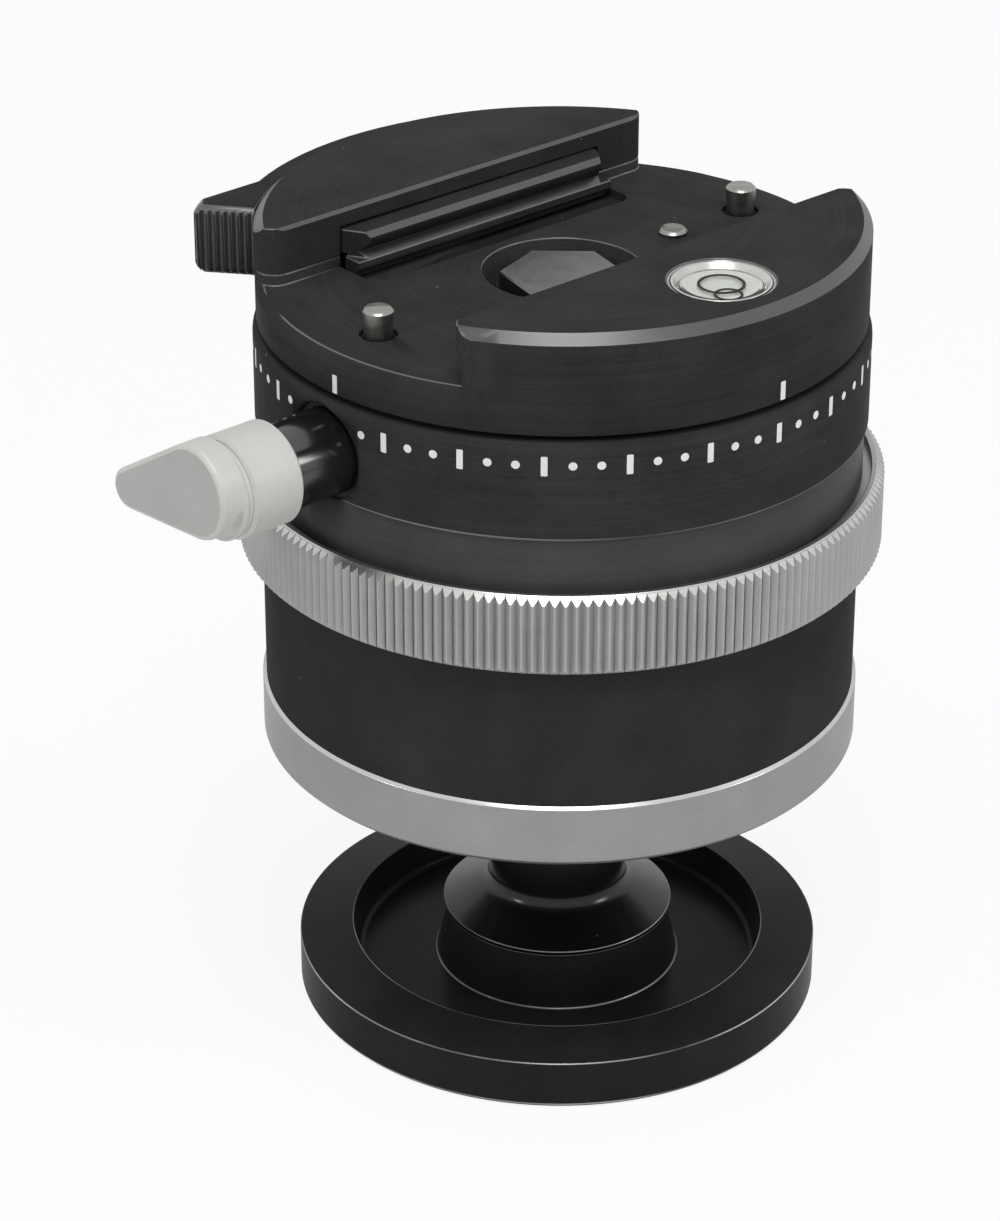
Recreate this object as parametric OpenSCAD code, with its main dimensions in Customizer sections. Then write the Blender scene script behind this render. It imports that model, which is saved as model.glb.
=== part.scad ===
// Inverted ball head with a pan base on top and a lever clamp for camera plates.
// Origin at the centre of the underside, +Z up, plate channel along X, pan lock knob at -X.

/* [Base] */
// Diameter of the foot disc
base_d = 52.2; // [48:0.2:56]
// Height of the outer wall of the foot disc
base_wall_h = 5.1; // [4.6:0.1:5.5]
// Rise of the rim from its outer to its inner edge
rim_rise = 0.9; // [0.4:0.1:1.2]
// Diameter of the rim's inner edge
rim_in_d = 41.4; // [38:0.2:43]
// Height of the floor of the dish above the underside
dish_floor = 2.4; // [1.8:0.1:3]
// Diameter of the boss at the floor of the dish
boss_d = 24.4; // [23.4:0.2:27]
// Diameter of the boss under the stem's flange
boss_top_d = 21.8; // [21:0.2:22.4]
// Height of the top of the boss
boss_top = 8.1; // [7.5:0.1:8.6]
// Diameter of the stem's foot in the disc
stem_foot_d = 16; // [15:0.5:18]
// Major diameter of the tripod thread (three eighths of an inch)
tripod_d = 9.525; // [9.525]
// Depth of the tripod thread
tripod_depth = 11; // [9:0.5:12]
// Wall of the steel thread bush
bush_wall = 1.4; // [1:0.1:1.8]

/* [Stem and ball] */
// Diameter of the stem's flange
flange_d = 23; // [22.6:0.2:24]
// Height of the flange's straight edge
flange_edge = 0.5; // [0.3:0.1:0.8]
// Height of the cone above the flange's edge
flange_cone = 1.8; // [1.4:0.1:2.4]
// Diameter of the neck
neck_d = 13.6; // [12:0.2:14]
// Fillet radius at the foot of the neck
neck_fillet = 1.6; // [1:0.1:2]
// Diameter of the ball
ball_d = 40; // [39:0.5:40]
// Height of the ball's centre above the bottom ring's underside, as a share of its diameter
ball_share = 0.2625; // [0.25:0.0025:0.27]
// Diameter of the spigot that carries the ball
spigot_d = 10; // [9:0.5:11]
// Radial play of the ball in its seat and cup
ball_play = 0.08; // [0.05:0.01:0.1]
// Largest tilt of the head on the ball, in degrees
tilt_max = 38; // [30:1:38]

/* [Housing] */
// Height of the underside of the bottom ring
ring_bottom_z = 29; // [28:0.1:31]
// Diameter of the bottom ring
band_d = 58.3; // [58:0.1:60]
// Height of the bottom ring
band_h = 6.4; // [6:0.1:7]
// Diameter of the opening in the bottom ring
mouth_d = 41; // [40.4:0.2:42]
// Diameter of the lower housing
housing_d = 57.6; // [57:0.1:58]
// Depth of the lock ring's underside below the top of the ball
ring_drop = 9.5; // [9:0.1:10]
// Wall of the housing's upper tube
tube_wall = 1.8; // [1.7:0.1:2]
// Diameter of the lock ring over its knurl
lock_ring_d = 62; // [61:0.2:64]
// Height of the lock ring
lock_ring_h = 8; // [7.6:0.1:9]
// Wall of the rim round the recess in the top of the lock ring
recess_wall = 1.25; // [1.1:0.05:1.4]
// Turn of the lock ring from locked to free, in degrees
lock_turn = 45; // [30:1:50]
// Diameter of the three pins that drive the pressure cup
drive_pin_d = 3; // [2.5:0.1:3.2]

/* [Pan base] */
// Diameter of the graduated body
scale_d = 58.5; // [58.4:0.1:59]
// Gap between the body's waist and the rim of the lock ring
waist_gap = 0.85; // [0.6:0.05:1.1]
// Height of the waist above the lock ring
waist_h = 5.1; // [4.8:0.1:5.6]
// Height of the graduated body
scale_h = 9.4; // [9.2:0.1:10]
// Radius of the shoulder of the graduated body
shoulder_r = 1; // [0.6:0.1:1.2]
// Gap between the graduated body and the clamp
pan_gap = 0.5; // [0.4:0.1:0.8]
// Diameter of the pan rotor's drum
drum_d = 36; // [35:0.5:36.4]
// Diameter of the pan rotor's flange
rotor_flange_d = 43; // [42:0.5:44]
// Inner diameter of the channel around the drum
channel_d = 54; // [53.6:0.2:54.4]
// Height of the pan lock's axis above the lock ring
knob_rise = 9.1; // [8.9:0.1:9.3]
// Diameter of the pan lock's spindle outside the body
spindle_d = 8.2; // [7.4:0.1:8.4]
// Diameter of the pan lock's spindle inside the body
spindle_tip_d = 4.2; // [4:0.1:4.4]
// Distance from the head's axis to the inner end of the knob
knob_in = 35.2; // [34:0.2:38]
// Length of the knob's collar
collar_l = 5.9; // [4.6:0.1:6.6]
// Diameter of the knob's collar
collar_d = 9.8; // [9.4:0.1:11]
// Diameter of the round end of the knob's wing
wing_d = 9; // [8.4:0.1:9.4]
// Rise of the wing's round end above the knob's axis
wing_rise = 0.6; // [0.3:0.1:0.9]
// Thickness of the wing with the disc behind it
wing_t = 3.1; // [2:0.1:5]
// Distance of the tip's centre from the round end's centre
wing_l = 10.4; // [8:0.1:13]
// Radius of the wing's tip
wing_tip_r = 2; // [1.4:0.1:2.6]
// Drop of the wing's tip from level, in degrees
wing_drop = 18; // [0:0.5:60]
// Turn of the pan lock from the -X axis, in degrees
knob_turn = 0.2; // [-10:0.1:10]

/* [Clamp] */
// Diameter of the clamp
clamp_d = 57.8; // [57.6:0.1:58.4]
// Thickness of the clamp's disc
clamp_t = 4; // [3.8:0.1:4.6]
// Height of the jaws above the plate face
jaw_h = 5.7; // [5.6:0.1:6.4]
// Height of the step under the lever block
step_h = 1.1; // [1:0.1:1.2]
// Distance of the front jaw's lip from the axis
front_lip = 12.3; // [11.8:0.1:13]
// Distance of the lever block's face from the axis
block_face = 14; // [13.8:0.1:14.2]
// Corner radius of the lever block
block_corner = 1.9; // [1.4:0.1:2.2]
// Chamfer on the jaws' outer edges
jaw_chamfer = 0.9; // [0.6:0.1:1.2]
// Chamfer on the disc's upper edge
rim_chamfer = 0.7; // [0.4:0.1:0.9]
// Depth of the dovetail under the lips
undercut = 2; // [1.6:0.1:2.2]
// Diameter of the bolt recess
recess_d = 15.2; // [14.6:0.2:16]
// Width across the flats of the centre bolt
bolt_af = 10.4; // [10:0.1:10.8]
// Depth of the bolt's head below the plate face
bolt_drop = 0.3; // [0.2:0.1:1.2]
// Turn of the bolt's corners from the channel, in degrees
bolt_turn = 17.4; // [0:0.2:60]
// Diameter of the bolt's thread
bolt_d = 6; // [6]
// Distance of the safety pins from the axis
pin_x = 22.8; // [22.4:0.1:23.2]
// Offset of the pins from the axis, towards the front jaw
pin_y = 0.4; // [0:0.1:1]
// Diameter of the safety pins
pin_d = 2.9; // [2.8:0.1:3]
// Height of the safety pins above the plate face
pin_h = 2.6; // [2.4:0.1:2.8]
// Distance of the locating dowel from the axis
dowel_x = 13.8; // [13.4:0.1:15]
// Diameter of the locating dowel
dowel_d = 2.8; // [2.4:0.1:3]
// Distance of the level from the axis
level_y = 21.3; // [21:0.1:21.6]
// Diameter of the level's case
level_d = 9.9; // [9.4:0.1:10.2]

/* [Jaw and lever] */
// Length of the sliding jaw
rail_l = 32; // [30:0.2:32.4]
// Offset of the sliding jaw's middle along the channel
rail_x = 0.8; // [0:0.1:0.8]
// Distance of the sliding jaw's lip from the axis when closed
rail_lip = 11.6; // [11.4:0.1:11.8]
// Drop of the sliding jaw's top below the jaws' tops
rail_drop = 2; // [1.8:0.1:2]
// Travel of the sliding jaw
jaw_travel = 2.4; // [2.2:0.1:2.5]
// Swing of the lever, in degrees
lever_swing = 75; // [60:1:78]
// Place of the lever's pivot along the channel
pivot_x = 12; // [11.6:0.1:12.4]
// Place of the lever's pivot across the channel
pivot_y = 22.5; // [22.3:0.1:22.6]
// Diameter of the lever's pivot pin
pivot_d = 2; // [1.6:0.1:2]
// Thickness of the lever's arm
arm_t = 1.8; // [1.6:0.1:2.4]
// Gap between the lever's arm and the clamp
arm_gap = 0.4; // [0.35:0.05:0.6]
// Height of the lever
lever_h = 6.7; // [6.4:0.1:7]
// Reach of the lever's thumb tab from the axis
tab_reach = 35.3; // [34:0.1:36.5]
// Count of the ribs on the thumb tab
tab_ribs = 7; // [5:1:8]

/* [Fits] */
// Radial play of a running fit
run = 0.05; // [0.03:0.01:0.08]
// Radial play of a fixed fit
fix = 0.02; // [0.01:0.01:0.03]
// Free gap between pieces that move past each other
gap = 0.3; // [0.25:0.05:0.4]

/* [Hidden] */
$fn = 96;

// Levels, from the foot up
z_flange = boss_top;
z_neck = z_flange + flange_edge + flange_cone;
ball_r = ball_d / 2;
z_ball = ring_bottom_z + ball_d * ball_share;
z_house = ring_bottom_z + band_h;
z_ring = z_ball + ball_r - ring_drop;
z_waist = z_ring + lock_ring_h;
z_scale = z_waist + waist_h;
z_body_top = z_scale + scale_h;
z_clamp = z_body_top + pan_gap;
z_plate = z_clamp + clamp_t;
z_step = z_plate + step_h;
z_top = z_plate + jaw_h;
z_knob = z_waist + knob_rise;

// Diameters that follow the ball and the lock ring: the tube's wall lies midway between them
tube_d = (lock_ring_d + ball_d) / 2 + tube_wall;
bore_d = tube_d - 2 * tube_wall;
lock_recess_d = lock_ring_d - 2 * recess_wall;
waist_d = lock_recess_d - 2 * waist_gap;

// Ball and what holds it
neck_r = neck_d / 2;
z_flat = z_ball - sqrt(ball_r * ball_r - neck_r * neck_r);
z_spigot_top = z_ball + ball_r - 6.5;
seat_bottom = ring_bottom_z + 2.2;
seat_top = z_ball - 1.5;
lip_h = 2;
cup_bottom = z_ball + 10;
cup_top = z_ball + ball_r - 1.9;
cup_room = 0.25;
floor_under = z_ball + ball_r + 0.4;
floor_top = floor_under + 2.3;
tube_top = floor_top - 1.2;
spigot_house_d = bore_d + 2.8;
ring_recess_z = z_waist - 0.8;
waist_bottom = ring_recess_z + 0.15;
drive_z = z_ring + lock_ring_h / 2;

// Pan rotor
washer_t = 0.28;
rotor_bottom = floor_top + washer_t + fix;
rotor_flange_t = 0.9;
retainer_bottom = rotor_bottom + rotor_flange_t + 0.2;
retainer_h = 1.1;
retainer_d = 48;
drum_top = z_clamp - 2.5;
drum_r = drum_d / 2;
shoe_d = spindle_tip_d;
shoe_l = 2.3;
shoe_in = drum_r + 0.1;
tip_in = shoe_in + shoe_l + gap;
spindle_bush_d = spindle_d + 1.2;
wing_in = knob_in + collar_l;

// Clamp
clamp_r = clamp_d / 2;
hub_d = drum_d - 1;
boss_r = 2.9;
pin_boss_bottom = z_clamp - 1.8;
plug_h = 0.7;
pin_flange_d = 4;
pin_flange_t = 0.7;
pin_well = z_plate - 1.4;
pin_bottom = pin_well - pin_flange_t - fix;
pin_travel = pin_bottom - pin_boss_bottom - plug_h - 0.1;
pin_bore_d = 1.7;
spring_wire = 0.34;
bolt_head_top = z_plate - bolt_drop;
recess_floor = z_clamp - 0.8;
bolt_washer_t = 0.6;
level_depth = 4;

// Jaw, lever and block
z_rail_top = z_top - rail_drop;
hub_bottom = z_step + gap;
hub_top = hub_bottom + 1.2;
tail_bottom = hub_top + gap;
cavity_top = z_rail_top + gap;
rail_back = block_face + 2.2;
rail_x0 = rail_x - rail_l / 2;
rail_x1 = rail_x + rail_l / 2;
rail_slant = 1.5;
pocket_floor = z_plate - 0.9;
ledge_bottom = pocket_floor + gap;
crank_r = jaw_travel / (2 * sin(lever_swing / 2));
crank_d = 1.2;
crank_play = 0.1;
crank_x = pivot_x - crank_r * cos(lever_swing / 2);
crank_y = pivot_y - crank_r * sin(lever_swing / 2);
hub_r = 3.3;
slot_x0 = pivot_x - crank_r - crank_d / 2 - gap / 2;
slot_x1 = crank_x + crank_d / 2 + gap / 2;
tail_x0 = slot_x0 - 0.9;
tail_x1 = slot_x1 + 0.8;
tail_back = crank_y + crank_d / 2 + crank_play + 0.7;
lever_z = z_top - 1.3 - lever_h;
arm_in = clamp_r + arm_gap;
arm_out = arm_in + arm_t;
arm_start = 72;
tab_root = 132;
tab_back = 118;
tab_tip = 131;
guide_x = [-11.6, 3.6];
guide_d = 1.6;
guide_in = rail_lip + 1.4;
guide_out = rail_back + jaw_travel + 2 * gap + 1.8;
guide_z = (hub_bottom + z_rail_top) / 2 - 0.1;
screw_x = 19.4;
screw_y = 16.6;

// A point at a radius and an angle
function polar(r, a) = [r * cos(a), r * sin(a)];

// Points of an arc about a centre, from one angle to another
function arc(c, r, a0, a1, n = 8) = [for (i = [0 : n]) c + polar(r, a0 + (a1 - a0) * i / n)];

// Outline of the half plane above a line y = face, with its two corners rounded inside a circle
function jaw_outline(face, rc, big) =
    let (cy = face + rc)
    let (cx = sqrt((big - rc) * (big - rc) - cy * cy))
    let (turn = atan2(cy, cx))
    concat(
        [[-cx - 2 * big, 2 * big]],
        [[cx + 2 * big, 2 * big]],
        [polar(2 * big, turn - 4)],
        arc([cx, cy], rc, turn - 4, -90),
        arc([-cx, cy], rc, -90, -176 - turn),
        [polar(2 * big, 184 - turn)]
    );

// A coil of wire about +Z, as one tube with closed ends
module coil(r, wire, z0, z1, turns, rings = 8, sides = 6) {
    count = turns * rings;
    rise = z1 - z0 - wire;
    points = [
        for (i = [0 : count], j = [0 : sides - 1])
            let (a = 360 * i / rings, s = 360 * j / sides)
            let (rr = r + wire / 2 * cos(s))
            [rr * cos(a), rr * sin(a), z0 + wire / 2 + rise * i / count + wire / 2 * sin(s)]
    ];
    walls = [
        for (i = [0 : count - 1], j = [0 : sides - 1], half = [0, 1])
            let (k = (j + 1) % sides)
            half == 0
                ? [i * sides + j, (i + 1) * sides + j, i * sides + k]
                : [i * sides + k, (i + 1) * sides + j, (i + 1) * sides + k]
    ];
    first = [for (j = [1 : sides - 2]) [0, j, j + 1]];
    last = [for (j = [1 : sides - 2]) [count * sides, count * sides + j + 1, count * sides + j]];
    polyhedron(points, concat(walls, first, last));
}

// A round rod from one X to another, at a height
module rod_x(d, x0, x1, z) {
    translate([x0, 0, z]) rotate([0, 90, 0]) cylinder(d = d, h = x1 - x0);
}

// Turns what belongs to the pan lock from the -X axis to its place
module at_knob() {
    rotate([0, 0, knob_turn]) children();
}

// The foot: a dished disc with a raised boss
module base_plate() {
    color("#1c1d1f") difference() {
        rotate_extrude() polygon([
            [0, 0],
            [base_d / 2 - 0.4, 0],
            [base_d / 2, 0.4],
            [base_d / 2, base_wall_h],
            [rim_in_d / 2, base_wall_h + rim_rise],
            [rim_in_d / 2 - 0.6, dish_floor],
            [boss_d / 2, dish_floor],
            [boss_top_d / 2, boss_top],
            [0, boss_top]
        ]);
        translate([0, 0, -1]) cylinder(d = stem_foot_d + 2 * fix, h = boss_top + 2);
    }
}

// The stem: foot, flange, filleted neck and the spigot for the ball
module stem() {
    color("#1c1d1f") difference() {
        rotate_extrude() polygon(concat(
            [[0, 0.2], [stem_foot_d / 2, 0.2], [stem_foot_d / 2, z_flange], [flange_d / 2, z_flange]],
            [[flange_d / 2, z_flange + flange_edge]],
            arc([neck_r + neck_fillet, z_neck + neck_fillet], neck_fillet, 243, 180),
            [[neck_r, z_flat], [spigot_d / 2, z_flat], [spigot_d / 2, z_spigot_top], [0, z_spigot_top]]
        ));
        translate([0, 0, -1]) cylinder(d = tripod_d + 2 * bush_wall + 2 * fix, h = tripod_depth + 1.2);
        translate([0, 0, z_spigot_top - 9]) cylinder(d = 5, h = 10);
    }
}

// Steel bush with the tripod thread
module tripod_bush() {
    color("#b9bbbe") translate([0, 0, 0.2]) difference() {
        cylinder(d = tripod_d + 2 * bush_wall, h = tripod_depth);
        translate([0, 0, -1]) cylinder(d = tripod_d, h = tripod_depth + 2);
    }
}

// Cap screw that holds the ball on its spigot
module ball_screw() {
    color("#4a4b4d") translate([0, 0, z_spigot_top]) difference() {
        union() {
            translate([0, 0, -8]) cylinder(d = 5 - 2 * fix, h = 8.1);
            translate([0, 0, fix]) cylinder(d = 11.6, h = 2.8);
        }
        translate([0, 0, 1.2]) cylinder(d = 4.6, h = 3, $fn = 6);
    }
}

// The ball, bored for the spigot
module ball() {
    color("#2a2b2d") difference() {
        translate([0, 0, z_ball]) sphere(d = ball_d);
        translate([0, 0, z_ball - ball_d]) cylinder(d = ball_d, h = ball_d - (z_ball - z_flat) + run);
        translate([0, 0, z_flat - 1]) cylinder(d = spigot_d + 2 * run, h = z_spigot_top - z_flat + 1.05);
        translate([0, 0, z_spigot_top]) cylinder(d = 12.2, h = 10);
    }
}

// Plastic seat under the ball
module ball_seat() {
    color("#e6e4dc") difference() {
        translate([0, 0, seat_bottom]) cylinder(d = bore_d - 2 * run, h = seat_top - seat_bottom);
        translate([0, 0, z_ball]) sphere(d = ball_d + 2 * ball_play);
        translate([0, 0, seat_bottom - 1])
            cylinder(d = mouth_d - 1, h = z_ball - 7.5 - seat_bottom + 1);
    }
}

// Silver ring that screws on below the housing and carries the seat
module bottom_ring() {
    color("#a9abae") difference() {
        rotate_extrude() polygon([
            [mouth_d / 2 + 1.4, ring_bottom_z],
            [band_d / 2 - 0.6, ring_bottom_z],
            [band_d / 2, ring_bottom_z + 0.6],
            [band_d / 2, z_house - 0.3],
            [band_d / 2 - 0.3, z_house],
            [spigot_house_d / 2 + fix, z_house],
            [spigot_house_d / 2 + fix, ring_bottom_z + lip_h],
            [mouth_d / 2, ring_bottom_z + lip_h]
        ]);
    }
}

// Black lower housing with the tube that the lock ring turns on
module housing() {
    sweep = lock_turn + 2 * asin((drive_pin_d / 2 + gap) / (bore_d / 2));
    color("#232426") difference() {
        rotate_extrude() polygon([
            [bore_d / 2, ring_bottom_z + lip_h + 0.1],
            [spigot_house_d / 2, ring_bottom_z + lip_h + 0.1],
            [spigot_house_d / 2, z_house],
            [housing_d / 2, z_house],
            [housing_d / 2, z_ring],
            [tube_d / 2, z_ring],
            [tube_d / 2, tube_top],
            [bore_d / 2, tube_top]
        ]);
        for (i = [0 : 2])
            rotate([0, 0, 90 + 120 * i - (sweep - lock_turn) / 2])
                rotate_extrude(angle = sweep)
                    translate([bore_d / 2 - 1, drive_z - drive_pin_d / 2 - gap])
                        square([tube_d / 2 - bore_d / 2 + 2, drive_pin_d + 2 * gap]);
    }
}

// Graduated body: it closes the housing and carries the pan rotor
module scale_body() {
    top = z_body_top;
    color("#232426") difference() {
        rotate_extrude() polygon(concat(
            [[0, floor_under], [bore_d / 2, floor_under], [bore_d / 2, tube_top + fix]],
            [[tube_d / 2 + fix, tube_top + fix], [tube_d / 2 + fix, waist_bottom]],
            [[waist_d / 2, waist_bottom], [waist_d / 2, z_scale - 0.2], [scale_d / 2, z_scale]],
            arc([scale_d / 2 - shoulder_r, top - shoulder_r], shoulder_r, 0, 90),
            [[channel_d / 2, top], [channel_d / 2, retainer_bottom + retainer_h]],
            [[retainer_d / 2 + fix, retainer_bottom + retainer_h], [retainer_d / 2 + fix, floor_top]],
            [[0, floor_top]]
        ));
        at_knob() rod_x(spindle_bush_d + 2 * fix, -scale_d, -channel_d / 2 + 1, z_knob);
    }
}

// Ring of spring washers that keeps the cup on the ball
module preload_spring() {
    color("#9a9c9f") translate([0, 0, cup_top + cup_room + 0.1]) difference() {
        cylinder(d = bore_d - 0.6, h = floor_under - cup_top - cup_room - 0.12);
        translate([0, 0, -1]) cylinder(d = bore_d - 8, h = 5);
    }
}

// Threaded ring that holds the pan rotor down
module pan_retainer() {
    color("#77797c") translate([0, 0, retainer_bottom]) difference() {
        cylinder(d = retainer_d, h = retainer_h);
        translate([0, 0, -1]) cylinder(d = drum_d + 1.2, h = retainer_h + 2);
        for (i = [0 : 3])
            rotate([0, 0, 45 + 90 * i])
                translate([retainer_d / 2 - 2, 0, -1]) cylinder(d = 1.6, h = retainer_h + 2);
    }
}

// A flat ring of slippery plastic
module slip_ring(d_out, d_in, z, t) {
    translate([0, 0, z]) difference() {
        cylinder(d = d_out, h = t);
        translate([0, 0, -1]) cylinder(d = d_in, h = t + 2);
    }
}

module pan_lower_washer() {
    color("#dedbd0") slip_ring(rotor_flange_d, 20, floor_top + fix / 2, washer_t);
}

module pan_upper_washer() {
    color("#dedbd0")
        slip_ring(rotor_flange_d, drum_d + 1.2, rotor_bottom + rotor_flange_t + fix, 0.2 - 2 * fix);
}

// Brass bush that the pan spindle screws through
module spindle_bush() {
    color("#a88b4a") at_knob() difference() {
        rod_x(spindle_bush_d, -scale_d / 2 + 0.7, -channel_d / 2, z_knob);
        rod_x(spindle_d + 2 * run, -scale_d, 0, z_knob);
    }
}

// Knurled ring that locks the ball
module lock_ring() {
    top = z_waist;
    color("#97999c") difference() {
        rotate_extrude() polygon([
            [tube_d / 2 + run, z_ring + 0.12],
            [lock_ring_d / 2 - 0.5, z_ring + 0.12],
            [lock_ring_d / 2, z_ring + 0.62],
            [lock_ring_d / 2, top - 0.5],
            [lock_ring_d / 2 - 0.4, top],
            [lock_recess_d / 2, top],
            [lock_recess_d / 2, ring_recess_z],
            [tube_d / 2 + run, ring_recess_z]
        ]);
        for (i = [0 : 2])
            rotate([0, 0, 90 + 120 * i])
                rod_x(drive_pin_d + 2 * fix, 0, lock_ring_d / 2 - 1.8, drive_z);
    }
}

// Three pins from the lock ring into the groove of the pressure cup
module drive_pins() {
    color("#b9bbbe") for (i = [0 : 2])
        rotate([0, 0, 90 + 120 * i])
            rod_x(drive_pin_d, bore_d / 2 - 1.5, lock_ring_d / 2 - 1.9, drive_z);
}

// Cup that is pressed on the ball from above; the three pins carry it round with the ring
module pressure_cup() {
    color("#b08d57") difference() {
        translate([0, 0, cup_bottom]) cylinder(d = bore_d - 2 * run, h = cup_top - cup_bottom);
        translate([0, 0, z_ball]) sphere(d = ball_d + 2 * ball_play);
        for (i = [0 : 2])
            rotate([0, 0, 90 + 120 * i])
                rod_x(drive_pin_d + 2 * gap, bore_d / 2 - 1.9, bore_d / 2 + 1, drive_z);
    }
}

// Outline of the knob's wing, as [up, across]: a round end and a smaller tip with straight flanks
function wing_outline() =
    let (aim = 90 + wing_drop)
    let (flank = acos((wing_d / 2 - wing_tip_r) / wing_l))
    concat(
        arc(polar(wing_l, aim) + [wing_rise, 0], wing_tip_r, aim - flank, aim + flank, 12),
        arc([wing_rise, 0], wing_d / 2, aim + flank, aim + 360 - flank, 40)
    );

// Pan lock knob: a collar, a thin disc and a drop-shaped wing
module pan_knob() {
    color("#c4c2bd") at_knob() translate([0, 0, z_knob]) difference() {
        union() {
            knob_round(collar_d, knob_in, collar_l - 0.3, 0.3);
            knob_round(collar_d - 0.8, wing_in - 0.5, 1, 0.1);
            knob_round(wing_d + 0.3, wing_in, 0.9, 0.2);
            translate([-wing_in - 0.5, 0, 0]) rotate([0, -90, 0])
                linear_extrude(wing_t - 0.5) polygon(wing_outline());
        }
        rod_x(spindle_d - 2 + 2 * fix, -wing_in + 1, -knob_in + 1, 0);
    }
}

// A round stretch of the knob along -X, with its outer edges broken
module knob_round(d, x, l, edge) {
    translate([-x, 0, 0]) rotate([0, -90, 0]) rotate_extrude() polygon([
        [0, 0],
        [d / 2 - edge, 0],
        [d / 2, edge],
        [d / 2, l - edge],
        [d / 2 - edge, l],
        [0, l]
    ]);
}

// Black spindle between the knob and the brake shoe
module pan_spindle() {
    color("#232426") at_knob() difference() {
        union() {
            rod_x(spindle_d, -knob_in + 0.02, -channel_d / 2, z_knob);
            rod_x(spindle_tip_d, -channel_d / 2 - 0.1, -tip_in, z_knob);
            rod_x(spindle_d - 2, -wing_in + 1.2, -knob_in + 0.1, z_knob);
        }
        rod_x(2 + 2 * run, -tip_in - 3, -tip_in + 1, z_knob);
    }
}

// Brake shoe that the spindle presses on the drum
module pan_shoe() {
    color("#b08d57") at_knob() union() {
        rod_x(shoe_d, -shoe_in - shoe_l, -shoe_in, z_knob);
        rod_x(2, -tip_in - 2.4, -shoe_in - 0.1, z_knob);
    }
}

// Pan rotor: flange, drum and the thread for the clamp's bolt
module pan_rotor() {
    color("#77797c") difference() {
        union() {
            translate([0, 0, rotor_bottom]) cylinder(d = rotor_flange_d, h = rotor_flange_t);
            translate([0, 0, rotor_bottom]) cylinder(d = drum_d, h = drum_top - rotor_bottom);
        }
        translate([0, 0, rotor_bottom + 1]) cylinder(d = bolt_d + 2 * fix, h = 20);
        translate([dowel_x, -pin_y, drum_top - 4]) cylinder(d = dowel_d + 2 * fix, h = 5);
    }
}

// Turned outline shared by the clamp's disc, front jaw and lever block
module clamp_blank(z0, z1, foot, edge) {
    rotate_extrude() polygon([
        [0, z0],
        [clamp_r - foot, z0],
        [clamp_r, z0 + foot],
        [clamp_r, z1 - edge],
        [clamp_r - edge, z1],
        [0, z1]
    ]);
}

// Pocket that the sliding jaw's ledge moves in, with round corners at its front
module jaw_pocket() {
    front = rail_lip - 2.8;
    back = rail_lip + 2 + jaw_travel + 2 * gap;
    left = rail_x0 - gap;
    right = rail_x1 + gap;
    translate([0, 0, pocket_floor]) linear_extrude(10) polygon(concat(
        [[right, back], [left, back]],
        arc([left + 1.5, front + 1.5], 1.5, 180, 270, 6),
        arc([right - 1.5, front + 1.5], 1.5, 270, 360, 6)
    ));
}

// Fixed half of the clamp: disc, front jaw with its dovetail, and the step for the block
module clamp_base() {
    color("#232426") difference() {
        union() {
            clamp_blank(z_clamp, z_plate, 0.3, rim_chamfer);
            translate([0, 0, drum_top + fix]) cylinder(d = hub_d, h = z_clamp - drum_top + 1);
            for (side = [-1, 1])
                translate([side * pin_x, -pin_y, pin_boss_bottom]) cylinder(r = boss_r, h = 3);
            intersection() {
                clamp_blank(z_clamp, z_top, 0.3, jaw_chamfer);
                translate([0, 0, z_clamp + 0.5]) linear_extrude(20)
                    mirror([0, 1]) polygon(jaw_outline(front_lip, 2, clamp_r));
                front_profile();
            }
            intersection() {
                clamp_blank(z_clamp, z_step, 0.3, 0.2);
                translate([0, 0, z_clamp + 0.5]) linear_extrude(20)
                    polygon(jaw_outline(block_face, block_corner, clamp_r));
            }
        }
        jaw_pocket();
        translate([0, 0, recess_floor]) cylinder(d = recess_d, h = 20);
        translate([0, 0, drum_top - 1]) cylinder(d = bolt_d + 0.4, h = 20);
        translate([dowel_x, -pin_y, drum_top - 1]) cylinder(d = dowel_d + 2 * fix, h = 20);
        for (side = [-1, 1])
            translate([side * pin_x, -pin_y, 0]) {
                translate([0, 0, pin_boss_bottom - 1])
                    cylinder(d = pin_flange_d + 2 * run, h = pin_well - pin_boss_bottom + 1);
                translate([0, 0, pin_well - 1]) cylinder(d = pin_d + 2 * run, h = 10);
                translate([0, 0, z_plate - 0.5]) cylinder(d = pin_d + 0.7, h = 10);
            }
        translate([0, -level_y, z_top - level_depth]) cylinder(d = level_d + 2 * fix, h = 10);
        translate([pivot_x, pivot_y, z_clamp + 0.8]) cylinder(d = pivot_d + 2 * fix, h = 20);
        for (side = [-1, 1])
            translate([side * screw_x, screw_y, z_clamp - 1]) {
                cylinder(d = 3.3, h = 20);
                cylinder(d = 5, h = 3.2);
            }
    }
}

// Cross section of the front jaw, with the dovetail under its lip
module front_profile() {
    translate([-clamp_r - 1, 0, 0]) rotate([90, 0, 90]) linear_extrude(clamp_d + 2) polygon([
        [-clamp_r - 1, z_clamp],
        [-front_lip - undercut, z_clamp],
        [-front_lip - undercut, z_top - 1.4 - undercut],
        [-front_lip, z_top - 1.4],
        [-front_lip, z_top - 0.3],
        [-front_lip - 0.3, z_top],
        [-clamp_r - 1, z_top]
    ]);
}

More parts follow.
